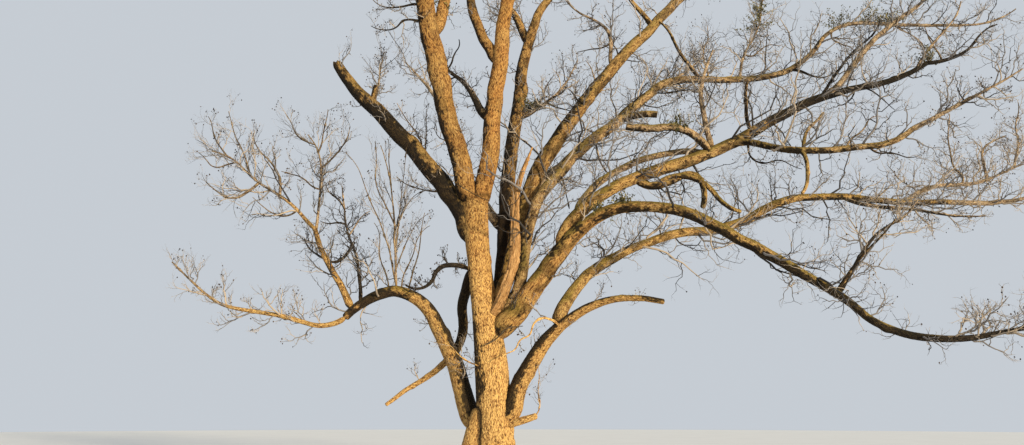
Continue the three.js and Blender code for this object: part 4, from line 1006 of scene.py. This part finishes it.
def node(tree, kind, inputs=None, stops=None, out=0, **settings):
    """Adds one shader node with its settings and returns one of its outputs. An input that is another
    node's output is linked to it; stops are the places and colours of a ramp."""
    made = tree.nodes.new(kind)
    for key, value in settings.items():
        setattr(made, key, value)
    for key, value in (inputs or {}).items():
        if isinstance(value, bpy.types.NodeSocket):
            tree.links.new(value, made.inputs[key])
        else:
            made.inputs[key].default_value = value
    for k, (place, colour) in enumerate(stops or []):
        steps = made.color_ramp.elements
        step = steps[k] if k < 2 else steps.new(1)
        step.position, step.color = place, (*colour, 1)
    return made.outputs[out] if len(made.outputs) else made


def new_material(name, roughness, colour, height=None, depth=0.01):
    """A node material with its surface shader and output. Colour is one plain colour, or a function that
    adds nodes to a tree and returns an output. Height is such a function too, and raises the surface by
    up to depth."""
    material = bpy.data.materials.new(name)
    material.use_nodes = True
    tree = material.node_tree
    tree.nodes.clear()
    sockets = {"IOR": 1.45, "Specular IOR Level": 0.25, "Roughness": roughness}
    sockets["Base Color"] = colour(tree) if callable(colour) else (*colour, 1)
    if height:
        sockets["Normal"] = node(tree, "ShaderNodeBump", {
            "Strength": 0.8, "Distance": depth, "Height": height(tree)})
    surface = node(tree, "ShaderNodeBsdfPrincipled", sockets)
    node(tree, "ShaderNodeOutputMaterial", {"Surface": surface})
    return material


def cork(tree):
    """Fine bark: cork plates about 30 mm across and 110 mm long, parted by cracks where two cells meet,
    and flakes of about 14 mm on them. Returns the plates' and the flakes' outputs."""
    grain = node(tree, "ShaderNodeAttribute", attribute_name="grain", out="Vector")
    warp = node(tree, "ShaderNodeTexNoise", {"Vector": grain, "Scale": 11, "Detail": 2.0}, out="Color")
    bent = node(tree, "ShaderNodeVectorMath", {0: warp, 1: (0.05, 0.05, 0.12)}, operation="MULTIPLY")
    moved = node(tree, "ShaderNodeVectorMath", {0: grain, 1: bent}, operation="ADD")
    long_cells = node(tree, "ShaderNodeMapping", {"Vector": moved, "Scale": (1, 1, 0.27)})
    edge = node(tree, "ShaderNodeTexVoronoi", {"Vector": long_cells, "Scale": 33},
                feature="DISTANCE_TO_EDGE")
    long_grain = node(tree, "ShaderNodeMapping", {"Vector": grain, "Scale": (1, 1, 0.3)})
    flake = node(tree, "ShaderNodeTexNoise", {"Vector": long_grain, "Scale": 70, "Detail": 6.0,
                                              "Roughness": 0.65})
    return edge, flake


def bark_colour(bark):
    """Colour of old oak bark, as a function that adds its nodes to a tree."""
    def nodes(tree):
        edge, flake = cork(tree)
        place = node(tree, "ShaderNodeTexCoord", out="Object")
        relief, red, grey, bright, moss, damp, cut = (
            node(tree, "ShaderNodeAttribute", attribute_name=name, out="Fac")
            for name in ("relief", "red", "grey", "bright", "moss", "damp", "cut"))
        # blotches about 38 mm across and 95 mm long, and patches about half a metre across where the
        # bark is redder
        grain = node(tree, "ShaderNodeAttribute", attribute_name="grain", out="Vector")
        drawn = node(tree, "ShaderNodeMapping", {"Vector": grain, "Scale": (1, 1, 0.4)})
        blotch = node(tree, "ShaderNodeTexNoise", {"Vector": drawn, "Scale": 26, "Detail": 3.0,
                                                   "Roughness": 0.7})
        patch = node(tree, "ShaderNodeTexNoise", {"Vector": place, "Scale": 2.1, "Detail": 4.0,
                                                  "Roughness": 0.6})
        crack = node(tree, "ShaderNodeMapRange", {0: edge, 1: 0.0, 2: 0.16, 3: -1.04, 4: -0.72})
        height = node(tree, "ShaderNodeMath", {0: relief, 1: 0.28, 2: crack}, operation="MULTIPLY_ADD")
        height = node(tree, "ShaderNodeMath", {0: flake, 1: 1.4, 2: height}, operation="MULTIPLY_ADD")
        height = node(tree, "ShaderNodeMath", {0: blotch, 1: 1.35, 2: height}, operation="MULTIPLY_ADD")
        plates = node(tree, "ShaderNodeValToRGB", {"Fac": height}, stops=[
            (0.3, tuple(bark.furrow_colour)), (1.0, tuple(bark.worn_colour)),
            (0.52, tuple(bark.inner_colour)), (0.78, tuple(bark.plate_colour))])
        warm = node(tree, "ShaderNodeValToRGB", {"Fac": patch}, stops=[
            (0.3, (0.97, 0.9, 0.82)), (0.7, tuple(bark.red_tint))])
        tinted = node(tree, "ShaderNodeMix", {0: red, 6: plates, 7: warm}, data_type="RGBA",
                      blend_type="MULTIPLY", out=2)
        dull = node(tree, "ShaderNodeHueSaturation", {"Saturation": 0.35, "Value": 0.85, "Color": tinted})
        tinted = node(tree, "ShaderNodeMix", {0: grey, 6: tinted, 7: dull}, data_type="RGBA", out=2)
        # the colour is scaled by the bark's tone, which holds painted light and shade too
        tinted = node(tree, "ShaderNodeVectorMath", {0: tinted, "Scale": bright}, operation="SCALE")
        thick = node(tree, "ShaderNodeMapRange", {0: blotch, 1: 0.3, 2: 0.6, 3: 0.35, 4: 1.0})
        share = node(tree, "ShaderNodeMath", {0: moss, 1: thick}, operation="MULTIPLY")
        green = node(tree, "ShaderNodeValToRGB", {"Fac": flake}, stops=[
            (0.3, tuple(bark.deep_moss)), (0.68, tuple(bark.moss_colour))])
        mossy = node(tree, "ShaderNodeMix", {0: share, 6: tinted, 7: green}, data_type="RGBA", out=2)
        # black of algae and painted shade laid over the bark where the mask is, a little less on the palest
        # flakes
        black_share = node(tree, "ShaderNodeMapRange", {0: flake, 1: 0.35, 2: 0.7, 3: 1.0, 4: 0.82})
        share = node(tree, "ShaderNodeMath", {0: damp, 1: black_share}, operation="MULTIPLY")
        black = node(tree, "ShaderNodeMix", {0: share, 6: mossy, 7: (*bark.damp_and_shade_colour, 1)},
                     data_type="RGBA", out=2)
        wood = node(tree, "ShaderNodeValToRGB", {"Fac": flake}, stops=[
            (0.3, tuple(bark.damp_and_shade_colour)), (0.7, tuple(bark.wood_colour))])
        return node(tree, "ShaderNodeMix", {0: cut, 6: black, 7: wood}, data_type="RGBA", out=2)
    return nodes


def bark_height(tree):
    """Height of the fine bark: plates between their cracks, roughened by the flakes."""
    edge, flake = cork(tree)
    plate = node(tree, "ShaderNodeMapRange", {0: edge, 1: 0.0, 2: 0.22})
    return node(tree, "ShaderNodeMath", {0: flake, 1: 0.7, 2: plate}, operation="MULTIPLY_ADD")


def fibres(tree):
    """Fibres of torn wood, about 12 mm across and many times as long."""
    grain = node(tree, "ShaderNodeAttribute", attribute_name="grain", out="Vector")
    drawn = node(tree, "ShaderNodeMapping", {"Vector": grain, "Scale": (1, 1, 0.05)})
    return node(tree, "ShaderNodeTexNoise", {"Vector": drawn, "Scale": 85, "Detail": 5.0, "Roughness": 0.65})


def torn_colour(bark):
    """Colour of torn wood, as a function that adds its nodes to a tree."""
    def nodes(tree):
        wood = node(tree, "ShaderNodeValToRGB", {"Fac": fibres(tree)}, stops=[
            (0.3, tuple(bark.furrow_colour)), (0.72, tuple(bark.torn_edge)),
            (0.42, tuple(bark.inner_colour)), (0.56, tuple(bark.torn_colour))])
        # the splinter is painted black with algae and with shade on its shaded side
        damp = node(tree, "ShaderNodeAttribute", attribute_name="damp", out="Fac")
        return node(tree, "ShaderNodeMix", {0: damp, 6: wood, 7: (*bark.damp_and_shade_colour, 1)},
                    data_type="RGBA", out=2)
    return nodes


def drifting(colour, other, scale):
    """A colour that drifts to another over the crown, as a function that adds its nodes to a tree. Scale
    is the number of drifts in a metre."""
    def nodes(tree):
        place = node(tree, "ShaderNodeTexCoord", out="Object")
        drift = node(tree, "ShaderNodeTexNoise", {"Vector": place, "Scale": scale, "Detail": 2.0})
        return node(tree, "ShaderNodeValToRGB", {"Fac": drift}, stops=[(0.38, colour), (0.62, other)])
    return nodes


def a_colour(name, words, colour):
    """A colour that the user can change, from its sRGB hex value."""
    return bpy.props.FloatVectorProperty(name=name, description=words, subtype="COLOR",
                                         default=linear(colour))


def a_length(name, words, size, least, most):
    """A length in metres that the user can change."""
    return bpy.props.FloatProperty(name=name, description=words, default=size, min=least, max=most,
                                   unit="LENGTH")


class OakBark(bpy.types.PropertyGroup):
    """Sizes and colours of the bark."""

    furrow_colour: a_colour("Furrow", "Bottom of a furrow", "#3A2817")
    inner_colour: a_colour("Inner bark", "Sides of a plate", "#885F33")
    plate_colour: a_colour("Plate", "Top of a plate", "#BD9249")
    worn_colour: a_colour("Worn plate", "Palest flakes", "#DFB973")
    red_tint: a_colour("Red tint", "Patches where the bark is redder", "#E6C096")
    moss_colour: a_colour("Moss", "Dry moss and lichen", "#8C7A30")
    deep_moss: a_colour("Deep moss", "Moss in its hollows", "#453818")
    # black of algae, used also as painted shade on the shaded sides of limbs and in the crease by the lobe,
    # and as the darkest fibres of cut wood
    damp_and_shade_colour: a_colour("Damp bark", "Black algae on damp sides", "#120F0C")
    wood_colour: a_colour("Cut wood", "Weathered wood of a cut or break", "#8A7456")
    torn_colour: a_colour("Torn wood", "Reddish heartwood of a fresh tear", "#B47A3E")
    torn_edge: a_colour("Torn fibres", "Palest fibres of torn wood", "#E2B478")
    trunk_plate: a_length("Trunk ridge", "Width of a ridge of bark on the trunk", 0.026, 0.02, 0.12)
    trunk_depth: a_length("Trunk furrow", "Depth of a furrow on the trunk", 0.011, 0.0, 0.05)


class OakTwigs(bpy.types.PropertyGroup):
    """Sizes and colours of the twigs."""

    # golden young bark, which also stands as painted light on the twigs that catch the light
    lit_colour: a_colour("Golden twigs", "Young bark", "#AE9D87")
    grey_colour: a_colour("Grey twigs", "Weathered bark", "#7B7570")
    # dark, rain-soaked bark, which also stands as painted shade on the twigs that lie in shade
    dark_and_shaded_colour: a_colour("Dark twigs", "Wet bark", "#3B3734")
    leaf_colour: a_colour("Green clumps", "Leaves of the evergreen clumps", "#504D2A")
    pale_leaf: a_colour("Sunlit leaves", "Leaves that catch the light", "#7E7440")
    gall_colour: a_colour("Dark galls", "Old galls and buds", "#2C231D")
    pale_gall: a_colour("Brown galls", "Younger galls", "#513D2C")
    second_girth: a_length("Second twigs", "Radius of a twig on a first twig", 0.0135, 0.002, 0.03)
    third_girth: a_length("Third twigs", "Radius of a twig on a second twig", 0.009, 0.001, 0.02)
    fourth_girth: a_length("Finest shoots", "Radius of the finest shoots", 0.0065, 0.001, 0.01)


class OakStage(bpy.types.PropertyGroup):
    """Floor, light and camera."""

    floor_colour: a_colour("Floor", "Pale studio floor", "#E6E3DC")
    backdrop_colour: a_colour("Backdrop", "Pale studio surround", "#DDE4EC")
    surround: bpy.props.FloatProperty(
        name="Surround", description="Strength of the light from all sides", default=0.78, min=0, max=3)
    key: bpy.props.FloatProperty(
        name="Key light", description="Strength of the low warm light", default=5.0, min=0, max=20)


# materials and grown twigs, shared by the operators
FINISHES = {}
GROWN = {}


class OAK_OT_finishes(bpy.types.Operator):
    """Makes the materials that the pieces share"""

    bl_idname = "oak.finishes"
    bl_label = "Bark, wood and leaf finishes"

    def execute(self, context):
        bark, twigs = context.scene.oak_bark, context.scene.oak_twigs
        # dead cork, so matt all over
        FINISHES["bark"] = new_material("furrowed_oak_bark", 0.94, bark_colour(bark), bark_height, 0.012)
        # split heartwood, dry, its fibres a little silky
        FINISHES["torn"] = new_material("torn_oak_heartwood", 0.8, torn_colour(bark), fibres, 0.02)
        # young bark is smooth and waxy, so it shines a little
        FINISHES["twigs"] = [
            new_material("golden_oak_shoots", 0.65, twigs.lit_colour),
            new_material("grey_oak_shoots", 0.7, twigs.grey_colour),
            new_material("dark_oak_shoots", 0.75, twigs.dark_and_shaded_colour)]
        # dry corky galls, matt
        FINISHES["gall"] = [new_material("dark_oak_galls", 0.6, twigs.gall_colour),
                            new_material("brown_oak_galls", 0.65, twigs.pale_gall)]
        # leathery evergreen leaves with a dull wax
        FINISHES["leaf"] = [new_material("leathery_leaves", 0.55, twigs.leaf_colour),
                            new_material("sunlit_leaves", 0.5, twigs.pale_leaf)]
        return {"FINISHED"}


class OAK_OT_trunk(bpy.types.Operator):
    """Makes the trunk's bark with its flared foot and the old lobe beside it"""

    bl_idname = "oak.trunk"
    bl_label = "Trunk"

    def execute(self, context):
        sizes = context.scene.oak_bark
        trunk = TREE["trunk"]
        body = bark_surface(trunk, 0.023, 170, sizes.trunk_depth, sizes.trunk_plate, "dome", flare_share)
        lobe = dict(LOBE, name="lobe", number=71, line=walk(LOBE, np.array(LOBE["start"])))
        knob = bark_surface(lobe, 0.024, 90, 0.012, 0.03, "dome", flare_share)
        # painted shade: the bark turns black in the crease where the lobe and the trunk meet
        for one, other in ((body, knob), (knob, body)):
            one[2]["damp"] = np.maximum(one[2]["damp"], crease_shade(one[0], other[0]))
        parts = [(stand_flat(points, limb["line"][:8]), faces, values)
                 for limb, (points, faces, values) in ((trunk, body), (lobe, knob))]
        piece = make_piece("trunk_bark", *join(parts), FINISHES["bark"])
        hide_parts("trunk")
        return {"FINISHED"}


def crease_shade(points, others):
    """Painted shade in the crease between two surfaces: 1 for points that touch another surface, down to 0
    for those a crease's width away from its nearest point. Every third point of the other surface is
    measured, and only low on the trunk."""
    found = np.zeros(len(points))
    low = np.flatnonzero(points[:, 2] < CREVICE_TOP)
    near = others[::3][others[::3, 2] < CREVICE_TOP]
    for part in np.array_split(low, 20):
        apart = ((points[part, None] - near[None]) ** 2).sum(axis=2)
        found[part] = 1 - smooth(0.3 * CREVICE, CREVICE, np.sqrt(apart.min(axis=1)))
    return found


def stand_flat(points, line):
    """Levels the foot of a leaning stem: the rings near the ground slide along it until the first lies
    on Z = 0, less and less up to 0.4 m."""
    way = unit(line[-1] - line[0])
    along = (points - line[0]) @ way
    axis_height = line[0][2] + along * way[2]
    fade = 1 - smooth(0.0, 0.4, axis_height)
    moved = points - way * ((points[:, 2] - axis_height) * fade / way[2])[:, None]
    moved[:, 2] = np.maximum(moved[:, 2], 0)
    return moved


class OAK_OT_boughs(bpy.types.Operator):
    """Makes the bark of every bough, with its side branches, sawn faces and breaks"""

    bl_idname = "oak.boughs"
    bl_label = "Boughs"

    def execute(self, context):
        for name in list(LIMBS)[1:]:
            if name == "torn_spike":
                continue
            limb = TREE[name]
            parts = [sweep_limb(limb, ENDS.get(name, "dome"))]
            for k, (label, stub) in enumerate(STUBS.items()):
                if stub["on"] == name:
                    line = walk(stub, point_at(limb["line"], np.float64(stub["at"])))
                    side = dict(stub, at=1, root_at=stub["at"], name=name, number=80 + k, line=line)
                    if label == "burl":
                        rise = np.linspace(BURL["low"], BURL["high"], len(line))[:, None]
                        side.update(BURL, line=line[0] + rise * [BURL["lean"], 0, 1] + BURL["aside"])
                    parts.append(sweep_limb(side, ENDS.get(label, "dome")))
            piece = make_piece(f"{name}_bark", *join(parts), FINISHES["bark"])
            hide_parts(name)
        return {"FINISHED"}


class OAK_OT_splinter(bpy.types.Operator):
    """Makes the torn splinter that stands in the fork, with a thinner one beside it"""

    bl_idname = "oak.splinter"
    bl_label = "Torn splinter"

    def execute(self, context):
        limb = TREE["torn_spike"]
        main = bark_surface(limb, 0.02, 48, 0.03, 0.03, "dome", splinter_section)
        thin = dict(limb, **THIN_STRAND, number=77, at=1)
        thin["line"] = walk(thin, limb["line"][STRAND_STEP] + STRAND_ASIDE)
        beside = bark_surface(thin, 0.02, 24, 0.02, 0.02, "dome", splinter_section)
        piece = make_piece("torn_splinter", *join([main, beside]), FINISHES["torn"])
        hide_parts("torn_spike")
        return {"FINISHED"}


def splinter_section(height, angle):
    """Share of the radius at a height and angle: three uneven ridges that turn slowly with height."""
    return 1 + 0.16 * np.cos(3 * angle + 1.5 * height) + 0.1 * np.cos(7 * angle - 4 * height)


class OAK_OT_branches(bpy.types.Operator):
    """Makes the branch that each mass of twigs grows from, and the thin side branches"""

    bl_idname = "oak.branches"
    bl_label = "Branches of the twig masses"

    def execute(self, context):
        parts = [sweep_limb(TREE[name]) for name in MASSES]
        parts += [sweep_limb(branch) for branch in SIDES]
        for k in range(2):
            piece = make_piece(f"branches_{k + 1}", *join(parts[k::2]), FINISHES["bark"])
        return {"FINISHED"}


def place_sides():
    """Gives each thin side branch its centreline and the number of the limb or stem that it grows on."""
    placed = []
    for k, (name, sizes) in enumerate(SIDE_BRANCHES.items()):
        parent = TREE[sizes["on"]]
        start = point_at(parent["line"], np.float64(sizes["at"])) + np.array(sizes.get("shift", [0, 0, 0]))
        side = dict(sizes, name=name, at=1, root_at=sizes["at"], number=100 + k, owner=parent["number"],
                    line=walk(sizes, start), reach=parent.get("reach", SIDE_REACH))
        placed.append(dict(side, line=stray(side)))
    return placed


SIDES = place_sides()


class OAK_OT_twigs(bpy.types.Operator):
    """Grows the twigs of every mass, four levels, by the rule that the solids follow"""

    bl_idname = "oak.twigs"
    bl_label = "Twigs"

    def execute(self, context):
        groups = []
        for name in MASSES:
            stem = TREE[name]
            more = int(MORE_TWIGS * DENSITY.get(name, 1))
            groups.append(first_twigs(stem, stem["twigs"], more, stem["reach"], 0.95 * stem["reach"]))
        for side in SIDES:
            more = int(SIDE_TWIGS * side["length"] * DENSITY.get(side["name"], DENSITY.get(side["on"], 1)))
            if more:
                groups.append(first_twigs(side, 0, more, side["reach"] + SIDE_ROOM, SIDE_LONGEST))
        levels = grow_levels(stack(groups), context.scene.oak_twigs)
        GROWN["levels"] = levels
        for label, twigs, sides in zip(("first", "second", "third", "fourth"), levels, TUBE_SIDES):
            make_twigs(f"{label}_twigs", twigs, sides)
        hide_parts(*MASSES)
        return {"FINISHED"}


def twig_tone(twigs):
    """Which of the three twig colours a twig takes: by its mass, and by chance from spray to spray."""
    # the darkest masses take the dark colour as painted shade, and the masses that catch the light more of
    # the golden as painted light
    dark = np.isin(twigs["owner"], [TREE[name]["number"] for name in DARK_AND_SHADED_MASSES])
    pale = np.isin(twigs["owner"], [TREE[name]["number"] for name in PALE_MASSES])
    throw = chance(twigs["spray"], 41)
    tone = np.where(throw < np.where(pale, 0.55, 0.3), 0, np.where((throw > 0.72) & ~pale, 2, 1))
    return np.where(dark, np.where(throw < 0.8, 2, 1), tone)


def make_twigs(label, twigs, sides):
    """Twigs of one level joined into pieces that aren't too large, coloured by spray."""
    points, faces, size, each = twig_tubes(twigs, sides)
    tone = twig_tone(twigs)
    total = len(twigs["number"])
    for k, rows in enumerate(np.array_split(np.arange(total), math.ceil(total * each / PIECE_TRIANGLES))):
        part = faces[rows[0] * each:(rows[-1] + 1) * each] - rows[0] * size
        piece = make_piece(f"{label}_{k + 1}", points[rows[0] * size:(rows[-1] + 1) * size], [part], {},
                           *FINISHES["twigs"], choice=np.repeat(tone[rows], each))


class OAK_OT_shoots(bpy.types.Operator):
    """Grows the shoots that sprout straight from the boughs"""

    bl_idname = "oak.shoots"
    bl_label = "Shoots on the boughs"

    def execute(self, context):
        groups = []
        for name, (often, longest) in SHOOTS.items():
            count = int(TREE[name]["length"] * often)
            groups.append(first_twigs(TREE[name], 0, count, SHOOT_REACH, longest))
        levels = grow_levels(stack(groups), context.scene.oak_twigs)
        for label, twigs, sides in zip(("long", "side", "short", "spur"), levels, TUBE_SIDES):
            make_twigs(f"{label}_shoots", twigs, sides)
        GROWN["shoots"] = levels
        return {"FINISHED"}


class OAK_OT_galls(bpy.types.Operator):
    """Makes the small dark galls and bud clusters at twig ends"""

    bl_idname = "oak.galls"
    bl_label = "Galls and buds"

    def execute(self, context):
        points, tone = [], []
        for levels in GROWN.values():
            for twigs, share in zip(levels[1:], GALL_SHARES):
                chosen = pick(twigs, chance(twigs["number"], 51) < share)
                radius = 0.012 + 0.01 * chance(chosen["number"], 52)
                points.append(chosen["line"][:, -1][:, None] + GALL_CORNERS * radius[:, None, None])
                tone.append(chance(chosen["spray"], 53) < BROWN_GALLS)
        points = np.concatenate(points)
        faces = GALL_FACES[None] + (len(GALL_CORNERS) * np.arange(len(points)))[:, None, None]
        piece = make_piece("galls", points.reshape(-1, 3), [faces.reshape(-1, 3)], {}, *FINISHES["gall"],
                           choice=np.repeat(np.concatenate(tone), len(GALL_FACES)))
        return {"FINISHED"}


class OAK_OT_clumps(bpy.types.Operator):
    """Makes the small green clumps that hang on in the crown"""

    bl_idname = "oak.clumps"
    bl_label = "Green clumps"

    def execute(self, context):
        groups, leaves = [], []
        for k, (name, fraction, size) in enumerate(CLUMPS):
            twig = np.arange(CLUMP_TWIGS)
            number = 9000.0 + 40 * k + twig
            root = np.repeat(point_at(TREE[name]["line"], np.array([fraction])), CLUMP_TWIGS, axis=0)
            along = np.repeat([[0.0, 0.0, 1.0]], CLUMP_TWIGS, axis=0)
            length = size * (0.5 + 0.5 * chance(number, 4))
            line = twig_lines(number, root, along, TWIG_TURN * twig, 1.9 * chance(number, 5), length,
                              np.full(CLUMP_TWIGS, WILD_CROOK))
            groups.append(dict(line=line, number=number, length=length, thick=0.006 + 0 * length,
                               owner=0 * number, spray=number))
            leaves.append(leaf_blades(line, number, CLUMP_LEAVES))
        make_twigs("clump_twigs", stack(groups), 3)
        points = np.concatenate(leaves)
        faces = np.arange(4)[None] + 4 * np.arange(len(points))[:, None]
        tone = chance(np.arange(len(points)) // CLUMP_LEAVES, 91) < SUNLIT_SHARE
        piece = make_piece("clump_leaves", points.reshape(-1, 3), [faces], {}, *FINISHES["leaf"],
                           choice=tone)
        return {"FINISHED"}


def leaf_blades(line, number, count):
    """Four-cornered leaves along each twig, about 60 mm long, each turned its own way by chance."""
    place = 0.3 + 0.7 * (np.arange(count) + 0.5) / count
    foot = curve(line, place).reshape(-1, 3)
    own = (number[:, None] * 31 + np.arange(count)).ravel()
    way = unit(np.stack([chance(own, 61 + axis) - 0.5 for axis in range(3)], axis=-1))
    side = unit(np.cross(way, unit(np.stack([chance(own, 71 + axis) - 0.5 for axis in range(3)], axis=-1))))
    long, wide = 0.05 + 0.03 * chance(own, 81)[:, None], 0.013 + 0.008 * chance(own, 82)[:, None]
    middle = foot + 0.55 * long * way
    return np.stack([foot, middle + wide * side, foot + long * way, middle - wide * side], axis=1)


class OAK_OT_stage(bpy.types.Operator):
    """Makes the pale floor, the soft light and the camera at the photograph's angle"""

    bl_idname = "oak.stage"
    bl_label = "Stage"

    def execute(self, context):
        sizes = context.scene.oak_stage
        angle = np.radians(np.arange(0, 360, 7.5))
        rim = FLOOR_RADIUS * np.stack([np.cos(angle), np.sin(angle), 0 * angle], axis=-1)
        index = np.arange(len(angle))
        faces = np.stack([index, np.roll(index, -1), np.full(len(angle), len(angle))], axis=-1)
        mesh = bpy.data.meshes.new("floor")
        mesh.from_pydata([*rim.tolist(), (0, 0, 0)], [], faces.tolist())
        pale = tuple(sizes.floor_colour)
        # rolled studio board, dead matt
        mesh.materials.append(new_material("matt_studio_board", 0.9, drifting(
            pale, tuple(0.97 * part for part in pale), 0.4)))
        floor = bpy.data.objects.new("floor", mesh)
        floor.location.z = -0.002
        context.scene.collection.objects.link(floor)
        floor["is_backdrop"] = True
        world = bpy.data.worlds.new("studio")
        world.use_nodes = True
        world.node_tree.nodes.clear()
        glow = node(world.node_tree, "ShaderNodeBackground", {
            "Color": (*sizes.backdrop_colour, 1), "Strength": sizes.surround})
        node(world.node_tree, "ShaderNodeOutputWorld", {"Surface": glow})
        context.scene.world = world
        light = bpy.data.lights.new("low_key", "SUN")
        light.energy, light.angle, light.color = sizes.key, math.radians(LIGHT_WIDTH), LIGHT_COLOUR
        sun = bpy.data.objects.new("low_key", light)
        sun.rotation_euler = Vector(LIGHT_WAY).to_track_quat("Z", "Y").to_euler()
        context.scene.collection.objects.link(sun)
        context.scene.view_settings.view_transform = "Standard"
        lens = bpy.data.cameras.new("camera")
        lens.lens, lens.sensor_width, lens.clip_end = LENS, SENSOR, 400
        camera = bpy.data.objects.new("camera", lens)
        camera.location = CAMERA_PLACE
        camera.rotation_euler = (math.radians(90 + CAMERA_TILT), 0, 0)
        context.scene.collection.objects.link(camera)
        context.scene.camera = camera
        return {"FINISHED"}


class OAK_PT_panel(bpy.types.Panel):
    """The steps that build the tree"""

    bl_idname = "OAK_PT_panel"
    bl_label = "Bare oak"
    bl_space_type = "VIEW_3D"
    bl_region_type = "UI"
    bl_category = "Oak"

    def draw(self, context):
        for step in STEPS:
            self.layout.operator(step.bl_idname)


STEPS = [
    OAK_OT_finishes, OAK_OT_trunk, OAK_OT_boughs, OAK_OT_splinter, OAK_OT_branches, OAK_OT_twigs,
    OAK_OT_shoots, OAK_OT_galls, OAK_OT_clumps, OAK_OT_stage,
]
GROUPS = [OakBark, OakTwigs, OakStage]


def register():
    """Registers the classes and gives the scene its sizes."""
    for made in [*GROUPS, *STEPS, OAK_PT_panel]:
        bpy.utils.register_class(made)
    bpy.types.Scene.oak_bark = bpy.props.PointerProperty(type=OakBark)
    bpy.types.Scene.oak_twigs = bpy.props.PointerProperty(type=OakTwigs)
    bpy.types.Scene.oak_stage = bpy.props.PointerProperty(type=OakStage)


def unregister():
    """Takes back what register did."""
    del bpy.types.Scene.oak_bark, bpy.types.Scene.oak_twigs, bpy.types.Scene.oak_stage
    for made in reversed([*GROUPS, *STEPS, OAK_PT_panel]):
        bpy.utils.unregister_class(made)


def main():
    """Builds the whole tree and its stage."""
    register()
    for step in STEPS:
        group, call = step.bl_idname.split(".")
        getattr(getattr(bpy.ops, group), call)()
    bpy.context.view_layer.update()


if __name__ == "__main__":
    main()
